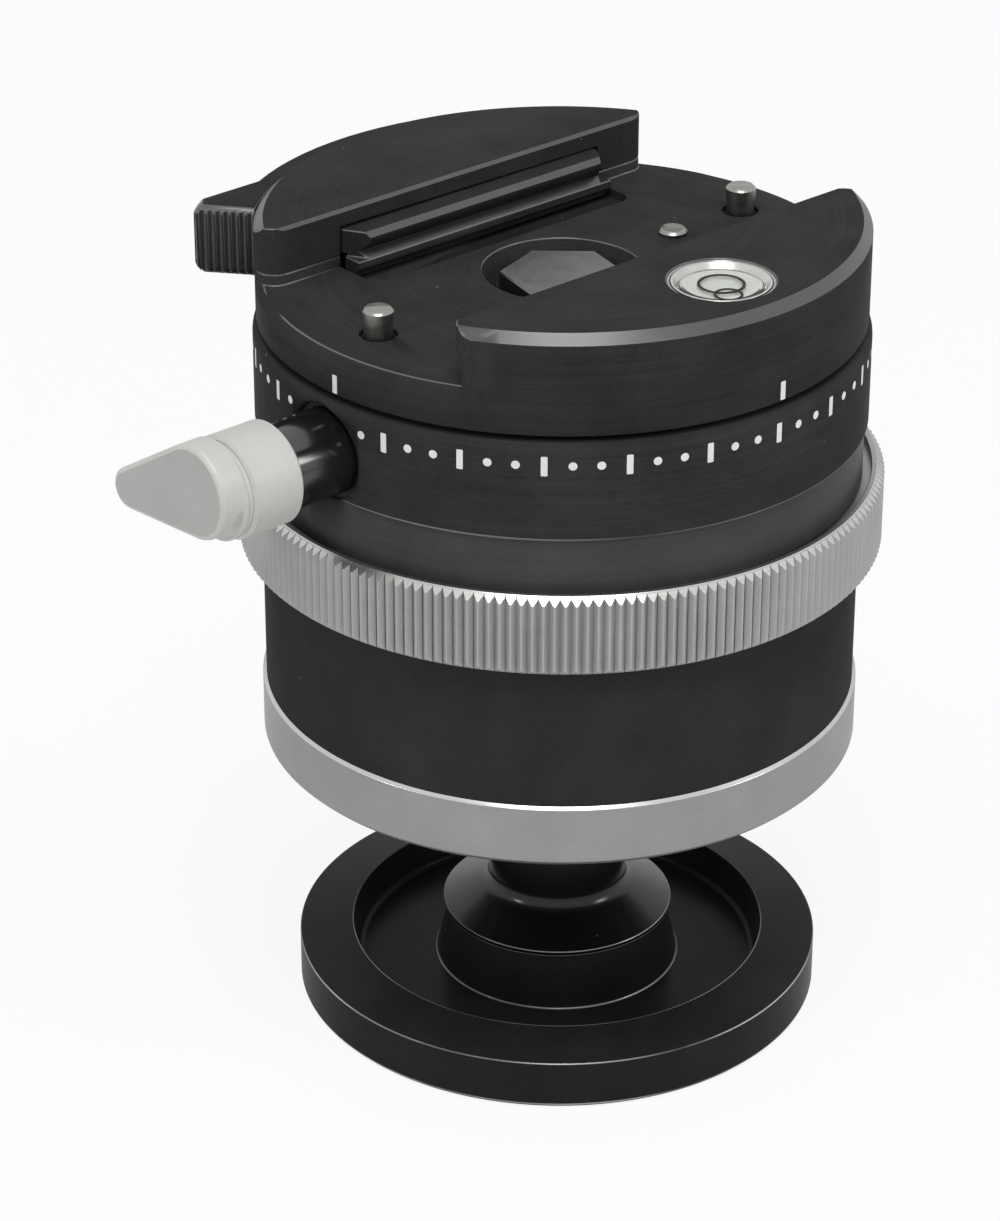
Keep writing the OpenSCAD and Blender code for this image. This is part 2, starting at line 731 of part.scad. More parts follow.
// Lever block: it covers the sliding jaw's guide and the lever's hub
module clamp_block() {
    color("#232426") difference() {
        intersection() {
            clamp_blank(z_step + fix, z_top, 0.2, jaw_chamfer);
            translate([0, 0, z_step - 1]) linear_extrude(20)
                polygon(jaw_outline(block_face, block_corner, clamp_r));
            translate([-clamp_r - 1, 0, 0]) rotate([90, 0, 90]) linear_extrude(clamp_d + 2) polygon([
                [block_face - 1, z_step - 1],
                [block_face - 1, z_top - 1.3],
                [block_face + 0.3, z_top],
                [clamp_r + 1, z_top],
                [clamp_r + 1, z_step - 1]
            ]);
        }
        block_cavity();
        for (side = [-1, 1])
            translate([side * screw_x, screw_y, 0]) cylinder(d = 3, h = z_top - 1.2);
        for (x = guide_x)
            translate([x, block_face, guide_z]) rotate([-90, 0, 0])
                cylinder(d = guide_d + 2 * run, h = guide_out + jaw_travel + gap - block_face);
    }
}

// Room inside the block for the jaw, its tail, and the lever's hub and neck
module block_cavity() {
    depth = tail_back + jaw_travel + gap - block_face;
    translate([rail_x0 - gap, block_face - 1, z_step - 1])
        cube([rail_l + 2 * gap, rail_back + jaw_travel + 2 * gap - block_face + 1, cavity_top - z_step + 1]);
    translate([tail_x0 - gap, block_face, tail_bottom - gap])
        cube([tail_x1 - tail_x0 + 2 * gap, depth, cavity_top - tail_bottom + gap]);
    translate([pivot_x, pivot_y, z_step - 1]) {
        cylinder(r = hub_r + gap, h = tail_bottom - z_step + 1 - 0.1);
        linear_extrude(tail_bottom - z_step + 1 - 0.1)
            polygon(concat([[0, 0]], arc([0, 0], 14, 5, 150, 10)));
    }
}

// Two screws that hold the block from below
module block_screws() {
    color("#4a4b4d") for (side = [-1, 1])
        translate([side * screw_x, screw_y, z_clamp - 0.1]) difference() {
            union() {
                cylinder(d = 4.8, h = 2.2);
                translate([0, 0, 2.1]) cylinder(d = 2.96, h = z_top - z_clamp - 4);
            }
            translate([0, 0, -1]) cylinder(d = 2.6, h = 2.2, $fn = 6);
        }
}

// Hexagon bolt that holds the clamp on the rotor
module clamp_bolt() {
    head = recess_floor + bolt_washer_t + 2 * fix;
    color("#6d6f72") rotate([0, 0, bolt_turn]) union() {
        translate([0, 0, head]) cylinder(d = bolt_af / cos(30), h = bolt_head_top - head, $fn = 6);
        translate([0, 0, rotor_bottom + 2]) cylinder(d = bolt_d, h = head - rotor_bottom - 1.9);
    }
}

module bolt_washer() {
    color("#8a8c8f") slip_ring(13, bolt_d + 0.6, recess_floor + fix, bolt_washer_t);
}

// Dowel that keeps the clamp from turning on the rotor
module locating_dowel() {
    low = drum_top - 3.8;
    color("#c9cbce") translate([dowel_x, -pin_y, low]) union() {
        cylinder(d = dowel_d, h = z_plate + 0.3 - low);
        translate([0, 0, z_plate + 0.3 - low]) cylinder(d1 = dowel_d, d2 = dowel_d - 0.6, h = 0.3);
    }
}

// Round level in the front jaw: case, liquid and lens
module level_case() {
    color("#c9cbce") translate([0, -level_y, z_top - level_depth + fix]) difference() {
        cylinder(d = level_d, h = level_depth - 0.05);
        translate([0, 0, 0.6]) cylinder(d = level_d - 1.3, h = level_depth);
    }
}

module level_fluid() {
    color("#d8dcc0") translate([0, -level_y, z_top - level_depth + 0.6 + 2 * fix])
        cylinder(d = level_d - 1.3 - 2 * fix, h = level_depth - 1.4);
}

module level_lens() {
    color("#e8ecec") translate([0, -level_y, z_top - 0.8 + 3 * fix])
        cylinder(d = level_d - 1.3 - 2 * fix, h = 0.6);
}

// Pin that the lever turns on
module lever_pivot() {
    low = z_clamp + 0.8 + fix;
    color("#b9bbbe") translate([pivot_x, pivot_y, low]) cylinder(d = pivot_d, h = hub_top - low);
}

// Two rods on the sliding jaw that run in the block
module jaw_guides() {
    color("#b9bbbe") for (x = guide_x)
        translate([x, guide_in + fix, guide_z]) rotate([-90, 0, 0])
            cylinder(d = guide_d, h = guide_out - guide_in - fix);
}

// Sliding jaw: lip, dovetail and ledge, with the tail that the crank pin moves
module clamp_jaw() {
    z_mid = z_step + gap;
    color("#2a2b2d") difference() {
        union() {
            translate([rail_x0, 0, 0]) rotate([90, 0, 90]) linear_extrude(rail_l) polygon([
                [rail_back, z_mid],
                [rail_back, z_rail_top],
                [rail_lip + 0.5, z_rail_top],
                [rail_lip, z_rail_top - 0.5],
                [rail_lip, z_rail_top - 1],
                [rail_lip + 1.1, z_rail_top - 2.1],
                [rail_lip, z_rail_top - 2.6],
                [rail_lip, z_plate + 0.35],
                [rail_lip + 0.7, z_plate - 0.3],
                [rail_lip + 0.7, ledge_bottom],
                [rail_lip + 2, ledge_bottom],
                [rail_lip + 2, z_mid]
            ]);
            translate([tail_x0, rail_back - 1, tail_bottom])
                cube([tail_x1 - tail_x0, tail_back - rail_back + 1, z_rail_top - tail_bottom]);
        }
        for (x = guide_x)
            translate([x, guide_in, guide_z]) rotate([-90, 0, 0]) cylinder(d = guide_d + 2 * fix, h = 20);
        for (side = [-1, 1])
            translate([rail_x + side * rail_l / 2, 0, z_rail_top - 2.6]) linear_extrude(20) polygon([
                [side, block_face],
                [0, block_face],
                [-side * rail_slant, rail_lip - 0.1],
                [side, rail_lip - 1]
            ]);
        translate([slot_x0, crank_y - crank_d / 2 - crank_play, tail_bottom - 1])
            cube([slot_x1 - slot_x0, crank_d + 2 * crank_play, 10]);
    }
}

// Outline of the lever: arm along the block, and the thumb tab
function lever_outline() = concat(
    arc([0, 0], arm_in, tab_root, arm_start, 14),
    arc([0, 0], arm_out, arm_start, tab_back, 12),
    arc(polar(tab_reach - 1.4, tab_tip - 1), 1.4, 95, 170, 5)
);

// Clamp lever: arm with a ribbed thumb tab, neck and hub
module clamp_lever() {
    color("#232426") difference() {
        union() {
            translate([0, 0, lever_z]) linear_extrude(lever_h) polygon(lever_outline());
            translate([0, 0, hub_bottom]) linear_extrude(hub_top - hub_bottom) {
                translate([pivot_x, pivot_y]) circle(r = hub_r);
                polygon([
                    [pivot_x - 1.8, pivot_y + 1],
                    [pivot_x + 1.6, pivot_y + 2.4],
                    polar(arm_in + 0.4, arm_start + 0.6),
                    polar(arm_in + 0.4, arm_start + 6)
                ]);
            }
        }
        translate([pivot_x, pivot_y, 0]) cylinder(d = pivot_d + 2 * run, h = 100);
        translate([crank_x, crank_y, hub_bottom + 0.3]) cylinder(d = crank_d + 2 * fix, h = 10);
        tab_grooves();
    }
}

// Grooves between the ribs of the thumb tab
module tab_grooves() {
    foot = polar(arm_in, tab_root);
    tip = polar(tab_reach - 1.4, tab_tip - 1) + polar(1.4, 170);
    along = (tip - foot) / norm(tip - foot);
    pitch = norm(tip - foot) / (tab_ribs + 0.4);
    for (i = [0 : tab_ribs - 1]) {
        spot = foot + along * pitch * (i + 0.6);
        translate([spot[0], spot[1], lever_z - 1]) rotate([0, 0, 45]) translate([-0.26, -0.26, 0])
            cube([0.52, 0.52, lever_h + 2]);
    }
}

// Crank pin in the lever's hub
module crank_pin() {
    low = hub_bottom + 0.3 + fix;
    color("#b9bbbe") translate([crank_x, crank_y, low]) cylinder(d = crank_d, h = z_rail_top - 0.1 - low);
}

// Safety pin, hollow for its spring, with a flange that holds it in
module safety_pin(side) {
    top = z_plate + pin_h;
    color("#c9cbce") translate([side * pin_x, -pin_y, 0]) difference() {
        union() {
            translate([0, 0, pin_bottom]) cylinder(d = pin_flange_d, h = pin_flange_t);
            translate([0, 0, pin_bottom]) cylinder(d = pin_d, h = top - 0.25 - pin_bottom);
            translate([0, 0, top - 0.25]) cylinder(d1 = pin_d, d2 = pin_d - 0.5, h = 0.25);
        }
        translate([0, 0, pin_bottom - 1]) cylinder(d = pin_bore_d, h = top - 1.1 - pin_bottom + 1);
        translate([0, 0, z_plate - 0.7]) difference() {
            cylinder(d = pin_d + 1, h = pin_h - 0.7);
            translate([0, 0, -1]) cylinder(d = pin_d - 0.25, h = pin_h + 2);
        }
    }
}

module safety_pin_left() {
    safety_pin(-1);
}

module safety_pin_right() {
    safety_pin(1);
}

// Spring inside a safety pin
module pin_spring(side) {
    color("#b0b2b5") translate([side * pin_x, -pin_y, 0])
        coil((pin_bore_d - spring_wire) / 2 - 0.08, spring_wire, pin_boss_bottom + plug_h + 0.05,
            z_plate + pin_h - 1.15, 8);
}

module pin_spring_left() {
    pin_spring(-1);
}

module pin_spring_right() {
    pin_spring(1);
}

// Plugs that close the wells of the safety pins
module pin_plugs() {
    color("#77797c") for (side = [-1, 1])
        translate([side * pin_x, -pin_y, pin_boss_bottom])
            cylinder(d = pin_flange_d + 2 * run - 2 * fix, h = plug_h);
}

base_plate();
stem();
tripod_bush();
ball_screw();
ball();
ball_seat();
bottom_ring();
housing();
scale_body();
preload_spring();
pan_retainer();
pan_lower_washer();
pan_upper_washer();
spindle_bush();
lock_ring();
drive_pins();
pressure_cup();
pan_knob();
pan_spindle();
pan_shoe();
pan_rotor();
clamp_base();
clamp_block();
block_screws();
clamp_bolt();
bolt_washer();
locating_dowel();
level_case();
level_fluid();
level_lens();
lever_pivot();
jaw_guides();
clamp_jaw();
clamp_lever();
crank_pin();
safety_pin_left();
safety_pin_right();
pin_spring_left();
pin_spring_right();
pin_plugs();
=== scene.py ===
import math

import bmesh
import bpy
from mathutils import Matrix, Vector


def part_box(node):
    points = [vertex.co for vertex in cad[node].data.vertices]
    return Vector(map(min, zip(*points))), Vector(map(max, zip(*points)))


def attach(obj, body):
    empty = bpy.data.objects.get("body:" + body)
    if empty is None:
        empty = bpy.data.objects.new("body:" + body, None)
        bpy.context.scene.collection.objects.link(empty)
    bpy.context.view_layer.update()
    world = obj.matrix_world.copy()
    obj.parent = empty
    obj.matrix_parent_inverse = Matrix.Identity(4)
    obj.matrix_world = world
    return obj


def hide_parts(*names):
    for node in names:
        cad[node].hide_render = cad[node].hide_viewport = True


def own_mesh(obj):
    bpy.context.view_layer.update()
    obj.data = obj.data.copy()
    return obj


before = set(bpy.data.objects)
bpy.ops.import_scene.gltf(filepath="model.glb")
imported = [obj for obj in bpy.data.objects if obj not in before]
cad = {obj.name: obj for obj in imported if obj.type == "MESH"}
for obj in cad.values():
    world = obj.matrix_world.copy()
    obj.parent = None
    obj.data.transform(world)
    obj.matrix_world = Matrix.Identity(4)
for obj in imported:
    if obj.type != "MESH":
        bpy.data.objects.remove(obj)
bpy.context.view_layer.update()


# The foot
# A dished disc turned from aluminium bar and anodised a glossy black. It is the part that stands
# on the tripod, so its sharp rims have rubbed bright in places. The rims also carry a painted sheen,
# strongest at the front.
def box_mm(node):
    """A CAD node's lowest and highest corners at rest, in mm."""
    return [[round(1000 * v, 3) for v in corner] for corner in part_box(node)]


ARC_STEPS = 5
ARC_LEAD = 0.06
WEAR_AND_SHEEN_BELOW = 0.6


def rounded(corners):
    """Corners (radius, height, rounding), in mm, become points (radius, height, share of edge wear and
    painted sheen).
    """
    points = []
    for i, (r, z, soft) in enumerate(corners):
        here = Vector((r, z))
        if soft == 0:
            points.append((r, z, 0.0))
            continue
        back = Vector(corners[i - 1][:2]) - here
        on = Vector(corners[(i + 1) % len(corners)][:2]) - here
        half = back.angle(on) / 2
        reach = soft / math.tan(half)
        middle = here + (back.normalized() + on.normalized()).normalized() * (soft / math.sin(half))
        start = here + back.normalized() * reach - middle
        end = here + on.normalized() * reach - middle
        lead = min(ARC_LEAD, 0.3 * (back.length - reach), 0.3 * (on.length - reach))
        points.append((*(here + back.normalized() * (reach + lead)), 0.0))
        for k in range(ARC_STEPS + 1):
            spoke = start.lerp(end, k / ARC_STEPS).normalized() * soft
            points.append((*(middle + spoke), 1.0 if soft < WEAR_AND_SHEEN_BELOW else 0.0))
        points.append((*(here + on.normalized() * (reach + lead)), 0.0))
    return points


def turned(name, points, steps=192):
    """A piece turned about Z from a closed outline of (radius, height, edge wear and painted sheen) points in
    mm.
    """
    bm = bmesh.new()
    wear_and_sheen_layer = bm.verts.layers.float.new("edge_wear_and_sheen")
    rings = []
    for r, z, worn in points:
        spokes = steps if r > 1e-6 else 1
        ring = []
        for k in range(spokes):
            a = 2 * math.pi * k / steps
            v = bm.verts.new((r * math.cos(a) / 1000, r * math.sin(a) / 1000, z / 1000))
            v[wear_and_sheen_layer] = worn
            ring.append(v)
        rings.append(ring)
    for i, ring in enumerate(rings):
        after = rings[(i + 1) % len(rings)]
        for k in range(steps):
            loop = [ring[k % len(ring)], after[k % len(after)],
                    after[(k + 1) % len(after)], ring[(k + 1) % len(ring)]]
            loop = list(dict.fromkeys(loop))
            if len(loop) > 2:
                bm.faces.new(loop)
    bmesh.ops.recalc_face_normals(bm, faces=bm.faces)
    return as_object(name, bm)


SMOOTH_UP_TO = 32


def as_object(name, bm, smooth_up_to=SMOOTH_UP_TO):
    """Makes an object of a bmesh, shaded smooth up to the given angle between faces, in degrees."""
    mesh = bpy.data.meshes.new(name)
    bm.to_mesh(mesh)
    bm.free()
    mesh.shade_smooth()
    mesh.set_sharp_from_angle(angle=math.radians(smooth_up_to))
    piece = bpy.data.objects.new(name, mesh)
    bpy.context.scene.collection.objects.link(piece)
    return piece


def colour(code):
    """An sRGB hex colour as the linear values that a shader takes."""
    parts = [int(code[i:i + 2], 16) / 255 for i in (1, 3, 5)]
    return tuple(p / 12.92 if p <= 0.04045 else ((p + 0.055) / 1.055) ** 2.4 for p in parts) + (1.0,)


def put(tree, kind, sockets=None, **settings):
    """Adds a node with its settings, and fills its sockets with values or with other nodes' outputs."""
    made = tree.nodes.new(kind)
    for key, value in settings.items():
        setattr(made, key, value)
    for key, value in (sockets or {}).items():
        if isinstance(value, bpy.types.NodeSocket):
            tree.links.new(value, made.inputs[key])
        else:
            made.inputs[key].default_value = value
    return made


# Sizes of the patterns in mm. Grit and turning marks are finer on the real piece, and are drawn as
# coarse as they need to show. The drift, in m for a radian, keeps a turning mark nearly unbroken.
CLOUD_MM = 6.25
GRIT_MM = 1 / 7
DUST_APART_MM = 5 / 3
RUBBED_PATCH_MM = 200 / 9
MARK_DRIFT = 0.0004
BUMP_HEIGHT = 0.00002
# The side towards the camera and the lamps, as a direction: the painted edge light is strongest there.
LIT_FRONT = (-0.66, -0.75, 0)


def anodised(name, dark, light, rough, line_mm, line_depth, shine, metal=0.0, worn=0.0, dust=0.0, lines=1.0,
             centre=(0, 0)):
    """Anodised aluminium: a thin dyed oxide over fine turning marks. The marks run round the axis,
    the dye clouds slightly over some millimetres, and edges can be rubbed through to bare metal.
    Small rounded edges also take a painted grey sheen, and both the sheen and the bare metal are
    painted strongest at the front, as painted light."""
    material = bpy.data.materials.new(name)
    material.use_nodes = True
    tree = material.node_tree
    shader = tree.nodes["Principled BSDF"]
    place = put(tree, "ShaderNodeTexCoord").outputs["Object"]
    own = put(tree, "ShaderNodeVectorMath", {0: place, 1: (centre[0] / 1000, centre[1] / 1000, 0)},
              operation="SUBTRACT")
    split = put(tree, "ShaderNodeSeparateXYZ", {0: own.outputs[0]})
    flat = put(tree, "ShaderNodeCombineXYZ", {0: split.outputs[0], 1: split.outputs[1]})
    radius = put(tree, "ShaderNodeVectorMath", {0: flat.outputs[0]}, operation="LENGTH").outputs["Value"]
    around = put(tree, "ShaderNodeMath", {0: split.outputs[1], 1: split.outputs[0]}, operation="ARCTAN2")
    slow = put(tree, "ShaderNodeMath", {0: around.outputs[0], 1: MARK_DRIFT}, operation="MULTIPLY")
    lathe = put(tree, "ShaderNodeCombineXYZ", {0: radius, 1: slow.outputs[0], 2: split.outputs[2]})
    marks = put(tree, "ShaderNodeTexNoise",
                {"Vector": lathe.outputs[0], "Scale": 1000 / line_mm, "Detail": 3.0})
    cloud = put(tree, "ShaderNodeTexNoise", {"Vector": place, "Scale": 1000 / CLOUD_MM, "Detail": 3.0})
    grain = put(tree, "ShaderNodeTexNoise", {"Vector": place, "Scale": 1000 / GRIT_MM, "Detail": 2.0})
    tone = put(tree, "ShaderNodeMath", {0: marks.outputs[0], 1: lines, 2: cloud.outputs[0]},
               operation="MULTIPLY_ADD")
    tone = put(tree, "ShaderNodeMath", {0: tone.outputs[0], 1: grain.outputs[0]}, operation="ADD")
    mean = 1 + lines / 2
    share = put(tree, "ShaderNodeMapRange",
                {"Value": tone.outputs[0], "From Min": mean - 0.4, "From Max": mean + 0.4})
    dye = put(tree, "ShaderNodeMix", {"Factor": share.outputs[0], 6: colour(dark), 7: colour(light)},
              data_type="RGBA")
    body = dye.outputs[2]
    if dust:
        cells = put(tree, "ShaderNodeTexVoronoi", {"Vector": place, "Scale": 1000 / DUST_APART_MM})
        near = put(tree, "ShaderNodeMath", {0: cells.outputs["Distance"], 1: 0.07}, operation="LESS_THAN")
        pick = put(tree, "ShaderNodeSeparateColor", {0: cells.outputs["Color"]})
        rare = put(tree, "ShaderNodeMath", {0: pick.outputs[0], 1: 1 - dust}, operation="GREATER_THAN")
        speck = put(tree, "ShaderNodeMath", {0: near.outputs[0], 1: rare.outputs[0]}, operation="MULTIPLY")
        faint = put(tree, "ShaderNodeMath", {0: speck.outputs[0], 1: 0.45}, operation="MULTIPLY")
        body = put(tree, "ShaderNodeMix", {"Factor": faint.outputs[0], 6: body, 7: colour("#8f8f8c")},
                   data_type="RGBA").outputs[2]
    if worn:
        edge = put(tree, "ShaderNodeAttribute", attribute_name="edge_wear_and_sheen")
        # Painted light: the edge marks are weighted towards the front, the side the light falls on.
        ahead = put(tree, "ShaderNodeVectorMath", {0: place, 1: LIT_FRONT}, operation="DOT_PRODUCT")
        painted_front_light = put(tree, "ShaderNodeMapRange", {
            "Value": ahead.outputs["Value"], "From Min": -0.006, "From Max": 0.014,
            "To Min": 0.12, "To Max": 1.0})
        worn_and_lit_edges = put(tree, "ShaderNodeMath", {0: edge.outputs["Fac"], 1: painted_front_light.outputs[0]},
                    operation="MULTIPLY")
        # Painted sheen: the small rounded edges are tinted grey, most of all at the front.
        painted_edge_sheen = put(tree, "ShaderNodeMath", {0: worn_and_lit_edges.outputs[0], 1: 0.3}, operation="MULTIPLY")
        body = put(tree, "ShaderNodeMix", {"Factor": painted_edge_sheen.outputs[0], 6: body, 7: colour("#55565a")},
                   data_type="RGBA").outputs[2]
        # Bare metal rubbed through at the edges: real wear, made strongest at the front as a painted glint.
        rub = put(tree, "ShaderNodeTexNoise",
                  {"Vector": place, "Scale": 1000 / RUBBED_PATCH_MM, "Detail": 5.0})
        bare = put(tree, "ShaderNodeMapRange",
                   {"Value": rub.outputs[0], "From Min": 0.32, "From Max": 0.55, "To Max": worn})
        bare_wear_and_glint = put(tree, "ShaderNodeMath", {0: worn_and_lit_edges.outputs[0], 1: bare.outputs[0]},
                      operation="MULTIPLY")
        body = put(tree, "ShaderNodeMix", {"Factor": bare_wear_and_glint.outputs[0], 6: body, 7: colour("#cfcfcc")},
                   data_type="RGBA").outputs[2]
        tree.links.new(bare_wear_and_glint.outputs[0], shader.inputs["Metallic"])
    else:
        shader.inputs["Metallic"].default_value = metal
    tree.links.new(body, shader.inputs["Base Color"])
    play = 0.06 * lines
    gloss = put(tree, "ShaderNodeMapRange",
                {"Value": marks.outputs[0], "To Min": rough - play, "To Max": rough + play})
    tree.links.new(gloss.outputs[0], shader.inputs["Roughness"])
    height = put(tree, "ShaderNodeMath", {0: marks.outputs[0], 1: lines, 2: grain.outputs[0]},
                 operation="MULTIPLY_ADD")
    bump = put(tree, "ShaderNodeBump",
               {"Height": height.outputs[0], "Strength": line_depth, "Distance": BUMP_HEIGHT})
    tree.links.new(bump.outputs[0], shader.inputs["Normal"])
    if not metal:
        shader.inputs["Specular IOR Level"].default_value = shine
    return material


def coat(target, *finish):
    """Puts materials on a mesh and keeps which of them each face takes."""
    mesh = target.data
    picked = [face.material_index for face in mesh.polygons]
    mesh.materials.clear()
    for one in finish:
        mesh.materials.append(one)
    for face, index in zip(mesh.polygons, picked):
        face.material_index = min(index, len(finish) - 1)


def fit(piece, body, slot, finish, *nodes):
    """Gives a finished piece its materials, ties it to its body, and hides the CAD it stands for. The slot is
    not used.
    """
    finish = finish if isinstance(finish, list) else [finish]
    coat(piece, *finish)
    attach(piece, body)
    for node in nodes:
        coat(cad[node], finish[0])
        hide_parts(node)
    return piece


# Polished before it was dyed: an even, deep black with a faint sheen.
gloss_black = anodised("black_anodised_polished", "#1c1c1d", "#28282a", rough=0.26, line_mm=0.25,
                       line_depth=0.06, shine=0.05, worn=0.7, dust=0.03, lines=0.15)
foot_r, _, boss_top = box_mm("base_plate")[1]
STEM_HOLE_R = 8.02
FOOT_CHAMFER = 0.4
RIM_TOP = 5.1
RIM_RISE = 0.9
DISH_R = 20.1
DISH_LEAN = 0.6
DISH_FLOOR = 2.4
BOSS_R = 10.9
BOSS_LEAN = 1.3
foot = turned("foot_disc", rounded([
    (STEM_HOLE_R, 0, 0.1), (foot_r - FOOT_CHAMFER, 0, 0.15), (foot_r, FOOT_CHAMFER, 0.2),
    (foot_r, RIM_TOP, 0.07), (DISH_R + DISH_LEAN, RIM_TOP + RIM_RISE, 0.06), (DISH_R, DISH_FLOOR, 0.6),
    (BOSS_R + BOSS_LEAN, DISH_FLOOR, 0.12), (BOSS_R, boss_top, 0.1), (STEM_HOLE_R, boss_top, 0.1)]))
fit(foot, "base", "black_gloss", gloss_black, "base_plate")

# The stem and its thread bush
# The stem is turned in one piece, with a coned flange and a filleted neck that runs up into the
# ball. A steel bush in its foot takes the tripod's three eighths of an inch screw.
(_, _, stem_low), (flange_r, _, stem_top) = box_mm("stem")
STEM_FOOT_R = 8.0
FLANGE_EDGE = 0.5
CONE_TOP = 11.02
NECK_R = 6.8
NECK_FILLET = 1.6
NECK_TOP = 20.6
SPIGOT_R = 5
SCREW_HOLE_R = 2.5
SCREW_HOLE_DEPTH = 9
stem = turned("stem_neck", rounded([
    (0, stem_low, 0), (STEM_FOOT_R, stem_low, 0.1), (STEM_FOOT_R, boss_top, 0), (flange_r, boss_top, 0.08),
    (flange_r, boss_top + FLANGE_EDGE, 0.06), (NECK_R, CONE_TOP, NECK_FILLET), (NECK_R, NECK_TOP, 0),
    (SPIGOT_R, NECK_TOP, 0), (SPIGOT_R, stem_top, 0), (SCREW_HOLE_R, stem_top, 0),
    (SCREW_HOLE_R, stem_top - SCREW_HOLE_DEPTH, 0), (0, stem_top - SCREW_HOLE_DEPTH, 0)]))
# Polished to a mirror: nearly black, with crisp highlights and worn rims; the rims also carry a painted
# sheen, strongest at the front.
stem_black = anodised("black_anodised_mirror", "#0c0c0d", "#131314", rough=0.2, line_mm=0.25,
                      line_depth=0.05, shine=0.35, worn=0.9, dust=0.02, lines=0.15)
fit(stem, "base", "black_gloss", stem_black, "stem")


def steel(name, dark, light, rough, line_mm, line_depth, centre=(0, 0)):
    """Turned steel: a bright grey metal with fine marks round its own axis and a faint cloudiness."""
    return anodised(name, dark, light, rough, line_mm, line_depth, shine=0.5, metal=1.0, centre=centre)


turned_steel = steel("turned_steel", "#85878a", "#a0a2a5", rough=0.28, line_mm=0.2, line_depth=0.2)
dark_steel = steel("blackened_steel", "#3d3e40", "#515254", rough=0.34, line_mm=0.2, line_depth=0.2)
coat(cad["tripod_bush"], turned_steel)
coat(cad["ball_screw"], dark_steel)

# The ball and its seat
# The ball is turned and polished, black as the stem that it is screwed to. A ring of slippery white
# plastic carries it from below and leaves it free to roll.
coat(cad["ball"], stem_black)
MOTTLE_MM = 0.5


def moulded(name, code, rough, mottle):
    """Plain moulded or painted stuff: one colour with a slight unevenness of tone over half a millimetre."""
    material = bpy.data.materials.new(name)
    material.use_nodes = True
    tree = material.node_tree
    shader = tree.nodes["Principled BSDF"]
    place = put(tree, "ShaderNodeTexCoord").outputs["Object"]
    tone = put(tree, "ShaderNodeTexNoise", {"Vector": place, "Scale": 1000 / MOTTLE_MM})
    soft = put(tree, "ShaderNodeMapRange", {"Value": tone.outputs[0], "To Min": 1 - mottle, "To Max": 1.0})
    shade = put(tree, "ShaderNodeMix", {"Factor": soft.outputs[0], 6: (0, 0, 0, 1), 7: colour(code)},
                data_type="RGBA")
    tree.links.new(shade.outputs[2], shader.inputs["Base Color"])
    shader.inputs["Roughness"].default_value = rough
    return material


slip_plastic = moulded("acetal_plastic", "#dedbd0", rough=0.4, mottle=0.06)
coat(cad["ball_seat"], slip_plastic)

# The bottom ring
# A plain ring of aluminium, turned and anodised silver, and screwed on below the housing to carry
# the ball's seat. Its upper bevel is drawn with a painted highlight.
(_, _, band_low), (band_r, _, band_top) = box_mm("bottom_ring")
BAND_MOUTH_R = 21.9
BAND_LOW_CHAMFER = 0.6
BAND_TOP_CHAMFER = 0.3
BAND_SOCKET_R = 26.02
BAND_FLOOR = 31
SEAT_HOLE_R = 20.5
# Fine turned silver under clear oxide: a soft grey gleam without a mirror image.
silver = anodised("silver_anodised_satin", "#939392", "#a1a1a0", rough=0.42, line_mm=0.22, line_depth=0.15,
                  shine=0.5, metal=1.0, lines=0.25)
# Smoother than the satin silver and drawn lighter: the lighter colour is a painted highlight, so a
# bevel that faces up shows as a white line.
silver_painted_highlight = anodised("silver_cut_painted_highlight", "#b9b9b7", "#c4c4c2", rough=0.25, line_mm=0.22, line_depth=0.1,
                         shine=0.5, metal=1.0)
band = turned("bottom_band", rounded([
    (BAND_MOUTH_R, band_low, 0.1), (band_r - BAND_LOW_CHAMFER, band_low, 0.3),
    (band_r, band_low + BAND_LOW_CHAMFER, 0.3), (band_r, band_top - BAND_TOP_CHAMFER, 0.1),
    (band_r - BAND_TOP_CHAMFER, band_top, 0.08), (BAND_SOCKET_R, band_top, 0), (BAND_SOCKET_R, BAND_FLOOR, 0),
    (SEAT_HOLE_R, BAND_FLOOR, 0)]))
# Faces that look up take the painted highlight.
for face in band.data.polygons:
    face.material_index = 1 if face.normal.z > 0.4 else 0
fit(band, "head", "silver_anodised", [silver, silver_painted_highlight], "bottom_ring")

# The housing
# The black lower tube of the head, turned from aluminium. The lock ring turns on its upper neck, and
# three slots there let the drive pins reach the cup.
MERGE_WITHIN = 2e-6
ONE_FLAT_WITHIN = 0.4


